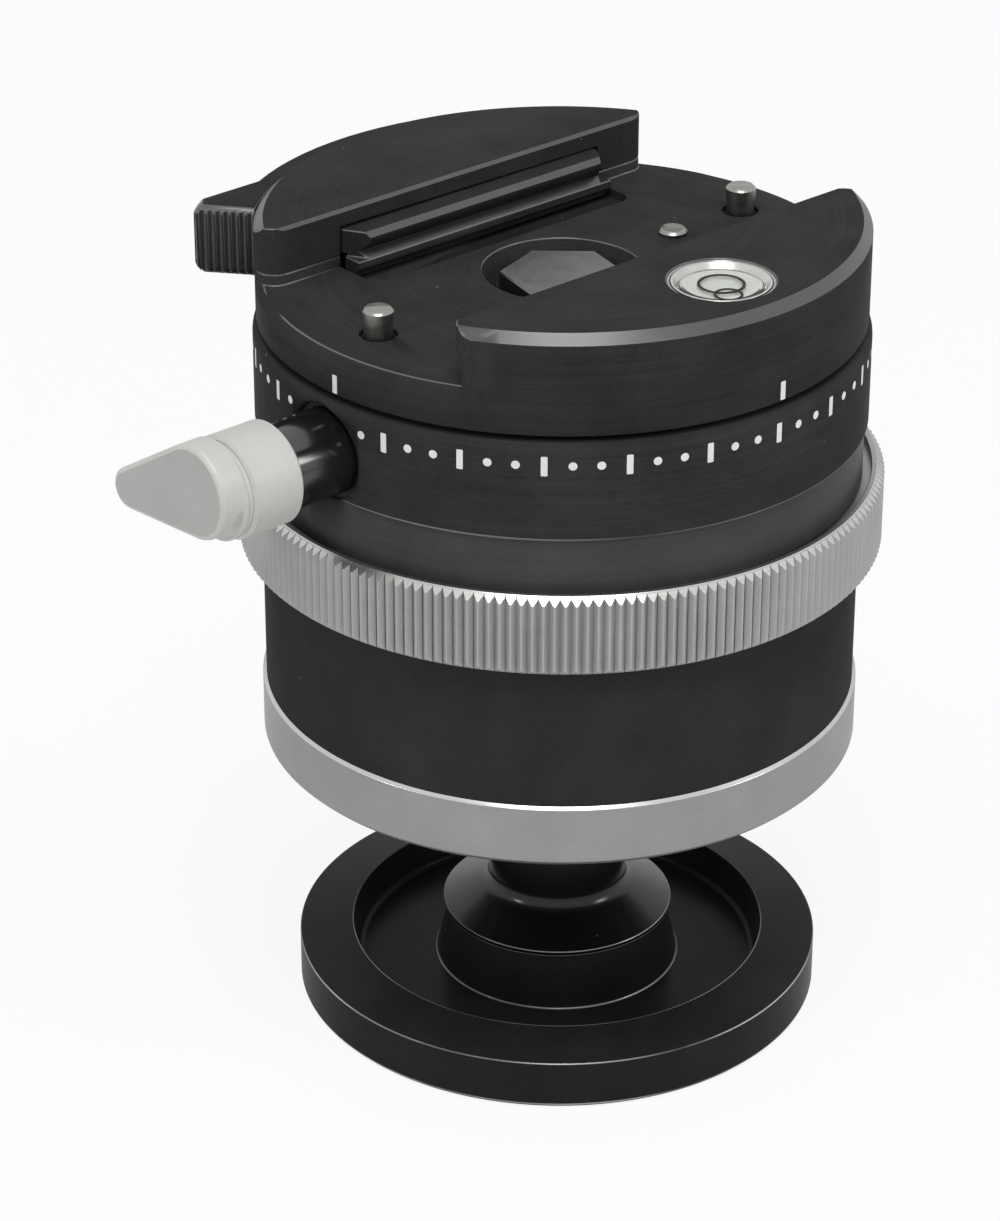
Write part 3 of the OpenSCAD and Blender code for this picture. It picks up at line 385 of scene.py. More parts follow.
def dressed(name, node, edge, shines=None, lit=None, cuts=(), turn=50):
    """A copy of a CAD solid, merged to clean faces and with its edges broken by a small bevel in mm.
    Bevels take the second material. The faces that the test named shines picks take the third, and so
    do flats cut by planes, each given by a point and a normal. The test named lit picks the edges, out
    of those that turn by more than an angle in degrees."""
    bm = bmesh.new()
    bm.from_mesh(cad[node].data)
    bmesh.ops.remove_doubles(bm, verts=bm.verts, dist=MERGE_WITHIN)
    bmesh.ops.dissolve_limit(bm, angle_limit=math.radians(ONE_FLAT_WITHIN), verts=bm.verts, edges=bm.edges)
    bmesh.ops.recalc_face_normals(bm, faces=bm.faces)
    for face in bm.faces:
        face.material_index = 2 if shines and shines(face) else 0
    for point, normal in cuts:
        bmesh.ops.bisect_plane(bm, geom=bm.verts[:] + bm.edges[:] + bm.faces[:], dist=1e-7, plane_co=point,
                               plane_no=normal, clear_outer=True)
        flat = bmesh.ops.holes_fill(bm, edges=[e for e in bm.edges if e.is_boundary], sides=0)
        for face in flat["faces"]:
            face.material_index = 2
    if edge:
        mark = bm.edges.layers.float.new("bevel_weight_edge")
        for line in bm.edges:
            bends = line.calc_face_angle(0) > math.radians(turn)
            line[mark] = 1.0 if bends and (lit is None or lit(line)) else 0.0
    piece = as_object(name, bm)
    for _ in range(3):
        piece.data.materials.append(None)
    if edge:
        cut = piece.modifiers.new("broken_edges", "BEVEL")
        cut.width = edge / 1000
        cut.segments = 1
        cut.limit_method = "WEIGHT"
        cut.use_clamp_overlap = False
        cut.material = 1
        finished(piece)
        piece.data.set_sharp_from_angle(angle=math.radians(SMOOTH_UP_TO))
    return piece


def finished(piece):
    """Turns a piece with its modifiers into a plain mesh."""
    shaped = bpy.data.meshes.new_from_object(piece.evaluated_get(bpy.context.evaluated_depsgraph_get()))
    piece.modifiers.clear()
    piece.data = shaped


# Blasted before it was dyed: an even dark grey that shows no reflections.
matt_black = anodised("black_anodised_matt", "#2c2c2d", "#383839", rough=0.5, line_mm=0.3, line_depth=0.08,
                      shine=0.004, dust=0.03, lines=0.3)
housing = dressed("housing_tube", "housing", 0)
fit(housing, "head", "black_anodised", [matt_black, matt_black], "housing")

# The lock ring
# A silver ring that locks the ball. Its rim is cut with straight V grooves side by side, and a
# chamfer at the top, drawn with a painted highlight, ends them in small points.
TEETH = 195
(_, _, ring_low), (ring_r, _, ring_top) = box_mm("lock_ring")
RING_BORE_R = 26.45
RING_STEP_R = 29.75
RING_STEP = 57.2
CORE_R = 30.4
CORE_CHAMFER = 0.15
ring_core = turned("lock_ring_core", rounded([
    (RING_BORE_R, ring_low, 0), (CORE_R - 0.1, ring_low, 0.1), (CORE_R, ring_low + 0.18, 0),
    (CORE_R, ring_top - CORE_CHAMFER, 0), (CORE_R - CORE_CHAMFER, ring_top, 0.03),
    (RING_STEP_R, ring_top, 0.08), (RING_STEP_R, RING_STEP, 0), (RING_BORE_R, RING_STEP, 0)]), 2 * TEETH)
fit(ring_core, "lock_ring", "silver_anodised", [silver, silver_painted_highlight], "lock_ring")
TOOTH_ROOT_R = 30.3
TOOTH_FLANK_R = 30.55
CREST_WIDTH = 0.16
TOOTH_WIDTH = 0.88


def one_tooth():
    """One ridge of the knurl at +X, narrow at its crest, with both ends chamfered."""
    bm = bmesh.new()
    rows = ((TOOTH_ROOT_R, ring_low + 0.02), (TOOTH_FLANK_R, ring_low + 0.08), (ring_r, ring_low + 0.5),
            (ring_r, ring_top - 0.7), (TOOTH_FLANK_R, ring_top - 0.25), (CORE_R, ring_top - 0.1),
            (TOOTH_ROOT_R, ring_top - 0.1))
    sides = []
    for side in (-1, 1):
        widths = [CREST_WIDTH if r == ring_r else TOOTH_WIDTH for r, _ in rows]
        sides.append([bm.verts.new((r / 1000, side * width / 2000, z / 1000))
                      for (r, z), width in zip(rows, widths)])
    for i in range(len(rows)):
        k = (i + 1) % len(rows)
        bm.faces.new((sides[0][i], sides[0][k], sides[1][k], sides[1][i]))
    for row in sides:
        bm.faces.new(row[1:5])
        bm.faces.new((row[0], row[1], row[4], row[5], row[6]))
    bmesh.ops.recalc_face_normals(bm, faces=bm.faces)
    return as_object("knurl_tooth", bm, 10)


def ring_of(name, shape, count, first, finish):
    """Copies of a shape, made at +X, set round the axis: the count and the first angle are inputs."""
    tree = bpy.data.node_groups.new(name + "_nodes", "GeometryNodeTree")
    tree.is_modifier = True
    number = tree.interface.new_socket("Count", in_out="INPUT", socket_type="NodeSocketInt")
    start = tree.interface.new_socket("First angle", in_out="INPUT", socket_type="NodeSocketFloat")
    tree.interface.new_socket("Geometry", in_out="OUTPUT", socket_type="NodeSocketGeometry")
    given = tree.nodes.new("NodeGroupInput")
    spots = put(tree, "GeometryNodePoints", {"Count": given.outputs["Count"]})
    order = put(tree, "GeometryNodeInputIndex")
    share = put(tree, "ShaderNodeMath", {0: order.outputs[0], 1: given.outputs["Count"]}, operation="DIVIDE")
    swing = put(tree, "ShaderNodeMath",
                {0: share.outputs[0], 1: 2 * math.pi, 2: given.outputs["First angle"]},
                operation="MULTIPLY_ADD")
    spin = put(tree, "ShaderNodeCombineXYZ", {2: swing.outputs[0]})
    source = put(tree, "GeometryNodeObjectInfo", {"Object": shape})
    copies = put(tree, "GeometryNodeInstanceOnPoints", {
        "Points": spots.outputs[0], "Instance": source.outputs["Geometry"], "Rotation": spin.outputs[0]})
    real = put(tree, "GeometryNodeRealizeInstances", {0: copies.outputs[0]})
    coated = put(tree, "GeometryNodeSetMaterial", {"Geometry": real.outputs[0], "Material": finish})
    put(tree, "NodeGroupOutput", {0: coated.outputs[0]})
    piece = bpy.data.objects.new(name, bpy.data.meshes.new(name))
    bpy.context.scene.collection.objects.link(piece)
    layout = piece.modifiers.new("ring", "NODES")
    layout.node_group = tree
    layout[number.identifier] = count
    layout[start.identifier] = first
    finished(piece)
    bpy.data.objects.remove(shape)
    return piece


# Grooved after turning: the flanks scatter the light, so the ring looks paler and duller than the band.
knurl_silver = anodised("silver_knurled", "#a1a09f", "#b1b0af", rough=0.5, line_mm=0.22, line_depth=0.2,
                        shine=0.5, metal=0.5, lines=0.4)
knurl = ring_of("lock_ring_knurl", one_tooth(), TEETH, 0.0, knurl_silver)
# The chamfers that look up take the painted highlight.
for ring in (knurl, ring_core):
    for face in ring.data.polygons:
        face.material_index = 1 if 0.4 < face.normal.z < 0.95 else 0
fit(knurl, "lock_ring", "silver_anodised", [knurl_silver, silver_painted_highlight])

# The graduated body
# The black upper body, turned from aluminium, closes the housing. Its shoulder is rounded, its waist
# is a little smaller, and a hole at the left takes the spindle of the pan lock.
(_, _, body_low), (body_r, _, body_top) = box_mm("scale_body")
WAIST_R = 28.9
WAIST_TOP = 62.9
NECK_SOCKET_R = 26.42
NECK_SOCKET_TOP = 61.02
FLOOR_R = 24.6
FLOOR_LOW = 59.9
FLOOR_TOP = 62.2
PAN_WELL_R = 27
PAN_STEP_R = 24.02
PAN_STEP = 64.8
SPINDLE_Z = 67.1
SPINDLE_HOLE_R = 4.72
# Turned and left with its fine marks: dark grey with faint rings and a rubbed edge here and there.
# Small rounded edges also carry a painted sheen, strongest at the front.
satin_black = anodised("black_anodised_satin", "#2b2b2c", "#3b3b3c", rough=0.45, line_mm=0.3, line_depth=0.15,
                       shine=0.004, worn=0.3, dust=0.06, lines=0.8)
body = turned("graduated_body", rounded([
    (0, FLOOR_LOW, 0), (FLOOR_R, FLOOR_LOW, 0), (FLOOR_R, NECK_SOCKET_TOP, 0),
    (NECK_SOCKET_R, NECK_SOCKET_TOP, 0), (NECK_SOCKET_R, body_low, 0), (WAIST_R, body_low, 0),
    (WAIST_R, WAIST_TOP, 0.05), (body_r, WAIST_TOP + 0.2, 0.08), (body_r, body_top, 1.0),
    (PAN_WELL_R, body_top, 0.1), (PAN_WELL_R, PAN_STEP, 0), (PAN_STEP_R, PAN_STEP, 0),
    (PAN_STEP_R, FLOOR_TOP, 0), (0, FLOOR_TOP, 0)]))
bm = bmesh.new()
across = Matrix.Translation((-0.0295, 0, SPINDLE_Z / 1000)) @ Matrix.Rotation(math.pi / 2, 4, "Y")
bmesh.ops.create_cone(bm, cap_ends=True, segments=64, radius1=SPINDLE_HOLE_R / 1000,
                      radius2=SPINDLE_HOLE_R / 1000, depth=0.012, matrix=across)
drill = as_object("drill", bm)
hole = body.modifiers.new("spindle_hole", "BOOLEAN")
hole.operation = "DIFFERENCE"
hole.object = drill
finished(body)
bpy.data.objects.remove(drill)
# The same finish, drawn a little lighter on the waist and with weaker marks: the lighter tone is painted
# light.
waist_black_painted_light = anodised("black_anodised_waist_painted_light", "#3d3d3e", "#4b4b4c", rough=0.4, line_mm=0.3, line_depth=0.12,
                       shine=0.05, worn=0.3, dust=0.06, lines=0.6)
# The waist below the step takes the lighter copy: painted light.
for face in body.data.polygons:
    face.material_index = 1 if face.center.z < WAIST_TOP / 1000 else 0
fit(body, "head", "black_anodised", [satin_black, waist_black_painted_light], "scale_body")

# Graduation marks
# White paint in shallow cuts: a line every fifteen degrees round the body, with two dots between lines.
white_fill = moulded("white_engraving_fill", "#e9e9e6", rough=0.6, mottle=0.14)
PAINT_PROUD = 0.012
PAINT_DEPTH = 0.05
CORNER_STEPS = 4
MARKS = 24
MARK_STEP = 360 / MARKS
MARK_WIDTH = 0.6
MARK_CORNER = 0.1
DOT_WIDTH = 0.8
DOT_CORNER = 0.399


def paint_mark(radius, low, high, width, corner):
    """One mark on a wall of the given radius at +X, in mm, upright and with round corners."""
    bm = bmesh.new()
    outline = []
    for ay, az in ((1, 1), (-1, 1), (-1, -1), (1, -1)):
        cy = ay * (width / 2 - corner)
        cz = high - corner if az > 0 else low + corner
        first = math.atan2(az, ay) - math.pi / 4
        for k in range(CORNER_STEPS + 1):
            a = first + k * math.pi / 2 / CORNER_STEPS
            outline.append((cy + corner * math.cos(a), cz + corner * math.sin(a)))
    front = [bm.verts.new(((radius + PAINT_PROUD) / 1000, y / 1000, z / 1000)) for y, z in outline]
    back = [bm.verts.new(((radius - PAINT_DEPTH) / 1000, y / 1000, z / 1000)) for y, z in outline]
    bm.faces.new(front)
    bm.faces.new(back)
    for i in range(len(front)):
        k = (i + 1) % len(front)
        bm.faces.new((front[i], back[i], back[k], front[k]))
    bmesh.ops.remove_doubles(bm, verts=bm.verts, dist=1e-7)
    bmesh.ops.recalc_face_normals(bm, faces=bm.faces)
    return as_object("paint_mark", bm)


def clear_of_spindle(piece):
    """Takes away the marks that the spindle hole cuts through."""
    bm = bmesh.new()
    bm.from_mesh(piece.data)
    lost = [v for v in bm.verts if v.co.x < 0 and math.hypot(v.co.y, v.co.z - SPINDLE_Z / 1000) < 0.0053]
    island = set(lost)
    while lost:
        island.update(lost)
        lost = [e.other_vert(v) for v in lost for e in v.link_edges if e.other_vert(v) not in island]
    bmesh.ops.delete(bm, geom=list(island), context="VERTS")
    bm.to_mesh(piece.data)
    bm.free()
    return piece


long_mark = paint_mark(body_r, 69.4, 71.3, MARK_WIDTH, MARK_CORNER)
lines = ring_of("graduation_lines", long_mark, MARKS, 0.0, white_fill)
fit(clear_of_spindle(lines), "head", "black_anodised", white_fill)
for turn_on, dots_name in ((MARK_STEP / 3, "graduation_dots_a"), (MARK_STEP * 2 / 3, "graduation_dots_b")):
    dot = paint_mark(body_r, 70.0, 70.8, DOT_WIDTH, DOT_CORNER)
    dots = ring_of(dots_name, dot, MARKS, math.radians(turn_on), white_fill)
    fit(clear_of_spindle(dots), "head", "black_anodised", white_fill)

# Inside the head
# The ring turns three steel pins, which carry the bronze cup over the ball. Above it a wave spring
# keeps the ball snug, and slippery washers let the clamp pan on the body's floor.
bronze = steel("bearing_bronze", "#8a6a3c", "#a5834f", rough=0.35, line_mm=0.3, line_depth=0.2)
coat(cad["drive_pins"], turned_steel)
coat(cad["pressure_cup"], bronze)
coat(cad["preload_spring"], dark_steel)
coat(cad["pan_lower_washer"], slip_plastic)
coat(cad["pan_upper_washer"], slip_plastic)
coat(cad["pan_retainer"], dark_steel)
coat(cad["pan_rotor"], silver)

# The pan lock
# A black spindle screwed through a bronze bush in the wall, with a pale bead blasted knob: a round
# collar, a thin groove and a drop-shaped wing for the fingers. Its tip pushes a small shoe.
# The bush is drawn nearly black: painted shade for the dark gap round the spindle, not the bronze's own
# colour.
bronze_painted_shade = steel("bronze_painted_shade", "#121110", "#1a1918", rough=0.4, line_mm=0.3, line_depth=0.2)
coat(cad["spindle_bush"], bronze_painted_shade)
coat(cad["pan_shoe"], slip_plastic)
# Blackened and polished steel: nearly black, with a bright streak along it.
rod_black = anodised("black_oxide_polished", "#0f0f10", "#1b1c1d", rough=0.15, line_mm=0.3, line_depth=0.06,
                     shine=1.0, lines=0.3)
spindle = dressed("pan_spindle_rod", "pan_spindle", 0)
fit(spindle, "pan_knob", "black_gloss", [rod_black, rod_black], "pan_spindle")
# Bead blasting leaves a pale, even grey that is nearly without gleam.
knob_metal = anodised("bead_blasted_aluminium", "#bebdba", "#c9c8c4", rough=0.55, line_mm=0.15,
                      line_depth=0.1, shine=0.3, metal=0.15)
# The wing's end face is drawn a little darker than its sides: painted shade, for a face of the same finish
# turned away from the light.
knob_face_painted_shade = anodised("bead_blasted_end_face_painted_shade", "#aaa9a7", "#b3b2b0", rough=0.6, line_mm=0.15, line_depth=0.1,
                     shine=0.2, metal=0.15)
WING_ROUNDING = 0.00045
COLLAR_SHARE = 0.7
COLLAR_START = 0.0353
knob = dressed("pan_knob_wing", "pan_knob", 0)
far_end = max(-v.co.x for v in knob.data.vertices)
bm = bmesh.new()
bm.from_mesh(knob.data)
soften = bm.edges.layers.float.new("bevel_weight_edge")
for edge in bm.edges:
    out = min(-v.co.x for v in edge.verts)
    if edge.calc_face_angle(0) > 0.8:
        edge[soften] = 1.0 if out > far_end - 0.00006 else COLLAR_SHARE if out < COLLAR_START else 0.0
bm.to_mesh(knob.data)
bm.free()
rounding = knob.modifiers.new("rounded_edges", "BEVEL")
rounding.width = WING_ROUNDING
rounding.segments = 3
rounding.limit_method = "WEIGHT"
rounding.use_clamp_overlap = False
knob.modifiers.new("flat_faces", "WEIGHTED_NORMAL").keep_sharp = True
finished(knob)
# The end face takes the darker copy: painted shade.
for face in knob.data.polygons:
    face.material_index = 1 if face.normal.x < -0.99 and -face.center.x > far_end - 0.0001 else 0
fit(knob, "pan_knob", "knob_alloy", [knob_metal, knob_face_painted_shade], "pan_knob")

# The clamp
# The disc with its front jaw is milled from one blank, and so is the block across from it. Both are
# black anodised aluminium, with upper edges broken by a small chamfer that catches the light and is
# drawn with a painted highlight.
EDGE_BREAK = 0.1
JAW_CHAMFER_ABOVE = 0.0815
POCKET_FRONT = 0.0085
POCKET_BACK = 0.0138
POCKET_BELOW = 0.0772
PLATE_BELOW = 0.0775
PIN_X = 0.0228
PIN_Y = -0.0004
DOWEL_X = 0.0138
HOLE_REACH = 0.003
# Milled smooth: the chamfers reflect the light above them. Both materials are also drawn lighter than
# the satin black, a painted highlight that shows as grey bands and lines.
edge_black_painted_highlight = anodised("black_anodised_edge_painted_highlight", "#4b4b4c", "#575758", rough=0.34, line_mm=0.3, line_depth=0.1,
                      shine=0.6)
chamfer_black_painted_highlight = anodised("black_anodised_chamfer_painted_highlight", "#333334", "#3d3d3e", rough=0.36, line_mm=0.3,
                         line_depth=0.1, shine=0.8)


def slopes(face):
    """Picks chamfers: faces that lean outward and up."""
    return 0.3 < face.normal.z < 0.95


def tops(line):
    """Picks the edges round a face that looks up."""
    return any(face.normal.z > 0.9 for face in line.link_faces)


def upper_edges(line):
    """Picks the edges round a top face, but not those of the pin holes and of the jaw's pocket."""
    spot = (line.verts[0].co + line.verts[1].co) / 2
    pocket = POCKET_FRONT < spot.y < POCKET_BACK and spot.z < POCKET_BELOW
    holes = any(math.hypot(spot.x - x, spot.y - PIN_Y) < HOLE_REACH for x in (-PIN_X, DOWEL_X, PIN_X))
    steep = line.calc_face_angle(0) > 0.87 or spot.z < PLATE_BELOW
    return steep and tops(line) and not pocket and not holes


def outer_edges(line):
    """Picks the edges round the top and the underside."""
    return any(abs(face.normal.z) > 0.9 for face in line.link_faces)


def jaw_chamfer(face):
    """Picks the chamfer along the front jaw's top."""
    return slopes(face) and face.calc_center_median().z > JAW_CHAMFER_ABOVE


clamp = dressed("clamp_disc", "clamp_base", EDGE_BREAK, jaw_chamfer, upper_edges, turn=35)
fit(clamp, "clamp", "black_anodised", [satin_black, edge_black_painted_highlight, chamfer_black_painted_highlight], "clamp_base")
block = dressed("lever_block", "clamp_block", EDGE_BREAK, slopes, outer_edges)
fit(block, "clamp", "black_anodised", [satin_black, edge_black_painted_highlight, chamfer_black_painted_highlight], "clamp_block")
coat(cad["block_screws"], dark_steel)

# Index lines
# Four white painted lines on the clamp's rim read against the graduation below them.
clamp_r = box_mm("clamp_base")[1][0]
for turn_on, mark_name in ((3.0, "index_lines_a"), (91.3, "index_lines_b")):
    index_mark = paint_mark(clamp_r, 73.3, 75.1, MARK_WIDTH, MARK_CORNER)
    index = ring_of(mark_name, index_mark, 2, math.radians(turn_on), white_fill)
    fit(index, "clamp", "black_anodised", white_fill)

# The bolt and the dowel
# A hexagon bolt in the round recess holds the clamp on the rotor, and a steel dowel beside it keeps
# the clamp from turning there. The bolt's face is milled in rings round its middle.
bolt_steel = steel("milled_dark_steel", "#5a5a5a", "#7c7b7a", rough=0.36, line_mm=0.7, line_depth=0.5)
bolt = dressed("hexagon_bolt", "clamp_bolt", 0.12)
fit(bolt, "clamp", "dark_steel", [bolt_steel, bolt_steel], "clamp_bolt")
coat(cad["bolt_washer"], dark_steel)
dowel_steel = steel("dowel_steel", "#6b6a67", "#7f7d79", rough=0.35, line_mm=0.25, line_depth=0.3,
                    centre=(1000 * DOWEL_X, 1000 * PIN_Y))
# The chamfers of the dowel and the pins take a lighter copy of the steel: a painted highlight.
pin_chamfer_painted_highlight = steel("pin_chamfer_steel_painted_highlight", "#8a8985", "#9f9e9a", rough=0.3, line_mm=0.25, line_depth=0.1)
dowel = dressed("clamp_dowel", "locating_dowel", 0, slopes)
fit(dowel, "clamp", "steel", [dowel_steel, dowel_steel, pin_chamfer_painted_highlight], "locating_dowel")

# The safety pins
# Sprung steel pins that stop a plate from sliding out. Each is hollow for its spring, which stands
# on a plug below.
for side, pin_name in ((-1, "left"), (1, "right")):
    pin_steel = steel("pin_steel_" + pin_name, "#85837d", "#9c9a94", rough=0.34, line_mm=0.2, line_depth=0.3,
                      centre=(side * 1000 * PIN_X, 1000 * PIN_Y))
    pin = dressed("stop_pin_" + pin_name, "safety_pin_" + pin_name, 0, slopes)
    fit(pin, "pin_" + pin_name, "steel", [pin_steel, pin_steel, pin_chamfer_painted_highlight], "safety_pin_" + pin_name)
    coil = dressed("pin_coil_" + pin_name, "pin_spring_" + pin_name, 0)
    fit(coil, "clamp", "steel", turned_steel, "pin_spring_" + pin_name)
    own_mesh(coil)
coat(cad["pin_plugs"], turned_steel)

# The round level
# A polished case pressed into the front jaw, with a funnel-shaped bezel round a vial of pale liquid.
# A black ring is printed over the liquid, and the bubble floats beside it.
LEVEL_Y = -21.3
BUBBLE_SPOT = (-1.18, -2.15)
BUBBLE_R = 1.24
BEZEL_R = 4.94
FUNNEL_R = 4.42
CUP_R = 3.85
VIAL_R = 3.83
CASE_LOW = 78.74
CASE_FLOOR = 79.34
VIAL_LOW = 79.36
VIAL_TOP = 81.8
PRINT_LOW = 82.2
PRINT_TOP = 82.34


def level_piece(name, corners, at=(0, 0), steps=96):
    """A small turned piece round the level's own axis, or beside it, in mm."""
    piece = turned(name, rounded(corners), steps)
    piece.data.transform(Matrix.Translation((at[0] / 1000, (at[1] + LEVEL_Y) / 1000, 0)))
    return piece


def printed_ring(name, inner, outer, at=(0, 0)):
    """A thin black line round the level's axis, or beside it, in mm."""
    return level_piece(name, [(inner, PRINT_LOW, 0), (outer, PRINT_LOW, 0), (outer, PRINT_TOP, 0.03),
                              (inner, PRINT_TOP, 0.03)], at)


bezel_metal = steel("polished_aluminium", "#b9b9b5", "#cacac5", rough=0.26, line_mm=0.3, line_depth=0.15,
                    centre=(0, LEVEL_Y))
case = level_piece("level_bezel", [
    (0, CASE_LOW, 0), (BEZEL_R, CASE_LOW, 0.1), (BEZEL_R, 82.1, 0), (4.6, 82.1, 0), (4.6, 82.58, 0.05),
    (FUNNEL_R, 82.58, 0.05), (CUP_R + 0.05, 81.95, 0), (CUP_R, 81.9, 0), (CUP_R, CASE_FLOOR, 0),
    (0, CASE_FLOOR, 0)])
fit(case, "clamp", "steel", bezel_metal, "level_case")
seat = level_piece("level_seat_ring", [
    (4.61, 82.12, 0), (4.93, 82.12, 0), (4.93, 82.66, 0.04), (4.8, 82.5, 0.05), (4.61, 82.45, 0)])
fit(seat, "clamp", "black_gloss", stem_black)
liquid = moulded("level_liquid", "#d4d6cd", rough=0.25, mottle=0.05)
vial = level_piece("level_vial", [
    (0, VIAL_LOW, 0), (VIAL_R, VIAL_LOW, 0.1), (VIAL_R, VIAL_TOP, 0.1), (0, VIAL_TOP, 0)])
fit(vial, "clamp", "level_liquid", liquid, "level_fluid")
ink = moulded("black_ink", "#0a0a0a", rough=0.7, mottle=0.2)
target = printed_ring("level_target_ring", 1.92, 2.2)
fit(target, "clamp", "level_glass", ink)
air = moulded("bubble_air", "#e6e8e2", rough=0.08, mottle=0.03)
bubble = level_piece("level_bubble", [
    (0, VIAL_TOP - 0.1, 0), (BUBBLE_R, VIAL_TOP - 0.1, 0), (BUBBLE_R, VIAL_TOP + 0.04, 0.04),
    (0, VIAL_TOP + 0.04, 0)], BUBBLE_SPOT)
fit(bubble, "clamp", "level_liquid", air)
rim = printed_ring("level_bubble_rim", 1.1, 1.34, BUBBLE_SPOT)
fit(rim, "clamp", "level_liquid", ink)
# Clear acrylic, wiped clean: a sharp view of the liquid under a very slight haze.
SMEAR_MM = 2
glass = bpy.data.materials.new("acrylic_lens")
glass.use_nodes = True
tree = glass.node_tree
shader = tree.nodes["Principled BSDF"]
shader.inputs["Base Color"].default_value = colour("#f4f6f4")
shader.inputs["Transmission Weight"].default_value = 1.0
place = put(tree, "ShaderNodeTexCoord").outputs["Object"]
smear = put(tree, "ShaderNodeTexNoise", {"Vector": place, "Scale": 1000 / SMEAR_MM})
haze = put(tree, "ShaderNodeMapRange", {"Value": smear.outputs[0], "To Min": 0.0, "To Max": 0.06})
tree.links.new(haze.outputs[0], shader.inputs["Roughness"])
lens_cap = level_piece("level_lens_cap", [
    (0, 81.88, 0), (VIAL_R, 81.88, 0.03), (VIAL_R, 82.18, 0.08), (3.5, 82.28, 0.2), (0, 82.28, 0)])
fit(lens_cap, "clamp", "level_glass", glass, "level_lens")

# The sliding jaw and the lever
# Both are milled from aluminium and anodised black. The jaw slides on two rods in the block. A crank
# pin on the lever's hub moves it, and the lever's thumb tab is ribbed.
jaw = dressed("sliding_jaw", "clamp_jaw", EDGE_BREAK, slopes, tops)
fit(jaw, "jaw", "black_anodised", [satin_black, edge_black_painted_highlight, chamfer_black_painted_highlight], "clamp_jaw")
RIB_FOOT = Vector((-0.0196, 0.02177, 0))
RIB_OUT = Vector((-0.7795, -0.6264, 0))
TAB_TIP = Vector((-0.02284, 0.02689, 0))
TAB_OUT = Vector((-0.7528, 0.6582, 0))
UP = Vector((0, 0, 1))
LEVER_LOW = 0.0747
LEVER_TOP = 0.0814
lever = dressed("lever_arm", "clamp_lever", 0.08, cuts=[
    (RIB_FOOT + UP * (LEVER_TOP - 0.0006), RIB_OUT + UP),
    (RIB_FOOT + UP * (LEVER_LOW + 0.0003), RIB_OUT - UP),
    (TAB_TIP + UP * (LEVER_TOP - 0.0008), TAB_OUT + UP),
    (TAB_TIP + UP * (LEVER_LOW + 0.0008), TAB_OUT - UP)], turn=35)
fit(lever, "lever", "black_anodised", [satin_black, edge_black_painted_highlight, chamfer_black_painted_highlight], "clamp_lever")
for node in ("jaw_guides", "lever_pivot", "crank_pin"):
    coat(cad[node], turned_steel)

# Studio
# A pale floor and soft light all round, with the camera where the photograph was taken from.
FLOOR_HALF = 3
floor_mesh = bpy.data.meshes.new("floor")
floor_mesh.from_pydata([(x * FLOOR_HALF, y * FLOOR_HALF, 0) for x, y in ((-1, -1), (1, -1), (1, 1), (-1, 1))],
                       [], [(0, 1, 2, 3)])
floor = bpy.data.objects.new("floor", floor_mesh)
bpy.context.scene.collection.objects.link(floor)
paper = bpy.data.materials.new("white_paper")
paper.use_nodes = True
tree = paper.node_tree
tree.nodes.clear()
sheet = put(tree, "ShaderNodeBsdfDiffuse", {"Color": (0.9, 0.9, 0.9, 1)})
glow = put(tree, "ShaderNodeEmission", {"Color": (1, 1, 1, 1), "Strength": 1.0})
path = put(tree, "ShaderNodeLightPath")
seen = put(tree, "ShaderNodeMath", {0: path.outputs["Is Camera Ray"], 1: 0.88}, operation="MULTIPLY")
both = put(tree, "ShaderNodeMixShader", {0: seen.outputs[0], 1: sheet.outputs[0], 2: glow.outputs[0]})
put(tree, "ShaderNodeOutputMaterial", {0: both.outputs[0]})
floor_mesh.materials.append(paper)

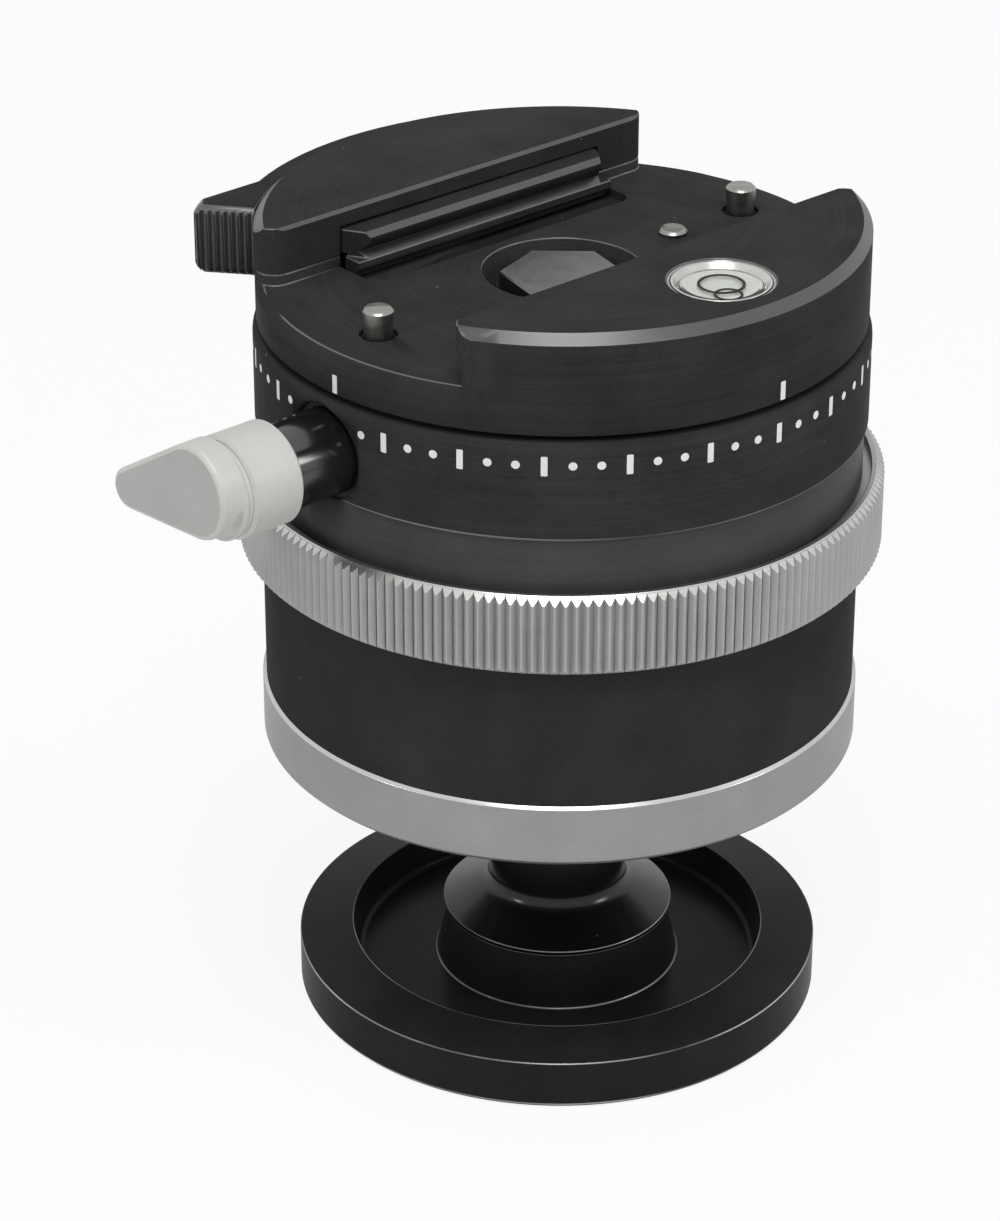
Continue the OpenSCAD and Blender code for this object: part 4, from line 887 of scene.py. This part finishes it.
world = bpy.data.worlds.new("studio")
bpy.context.scene.world = world
world.use_nodes = True
tree = world.node_tree
tree.nodes.clear()
path = put(tree, "ShaderNodeLightPath")
shown = put(tree, "ShaderNodeMath",
            {0: path.outputs["Is Camera Ray"], 1: path.outputs["Is Transmission Ray"]}, operation="MAXIMUM")
shown = put(tree, "ShaderNodeMath", {0: shown.outputs[0], 1: path.outputs["Is Glossy Ray"]},
            operation="MAXIMUM")
light = put(tree, "ShaderNodeMapRange", {"Value": shown.outputs[0], "To Min": 0.48, "To Max": 1.0})
sky = put(tree, "ShaderNodeBackground", {"Color": (1, 1, 1, 1), "Strength": light.outputs[0]})
put(tree, "ShaderNodeOutputWorld", {0: sky.outputs[0]})


def softbox(name, spot, aim, size, watts):
    """A square soft light at a spot, pointed at a place on the object, in metres."""
    lamp = bpy.data.lights.new(name, "AREA")
    lamp.size = size
    lamp.energy = watts
    holder = bpy.data.objects.new(name, lamp)
    turn = (Vector(spot) - Vector(aim)).to_track_quat("Z", "Y").to_matrix().to_4x4()
    holder.matrix_world = Matrix.Translation(spot) @ turn
    bpy.context.scene.collection.objects.link(holder)


softbox("key", (-0.2, -0.24, 0.75), (0, 0, 0.06), size=0.35, watts=3.0)
softbox("fill", (0.4, -0.6, 0.4), (0, 0, 0.05), size=0.2, watts=1.0)
softbox("side", (-0.6, 0.19, 0.35), (0, 0, 0.02), size=0.08, watts=0.5)

CAMERA_SPOT = (-0.2398, -0.2654, 0.2272)
CAMERA_LOOK = Vector((0.5837, 0.6676, -0.4622))
CAMERA_ROLL = 0.086
lens = bpy.data.cameras.new("camera")
lens.sensor_fit = "VERTICAL"
lens.sensor_height = 36
lens.lens = 121.36
lens.clip_start = 0.01
camera = bpy.data.objects.new("camera", lens)
camera.matrix_world = (Matrix.Translation(CAMERA_SPOT)
                       @ CAMERA_LOOK.to_track_quat("-Z", "Y").to_matrix().to_4x4()
                       @ Matrix.Rotation(math.radians(CAMERA_ROLL), 4, "Z"))
bpy.context.scene.collection.objects.link(camera)
bpy.context.scene.camera = camera
bpy.context.scene.view_settings.view_transform = "Standard"
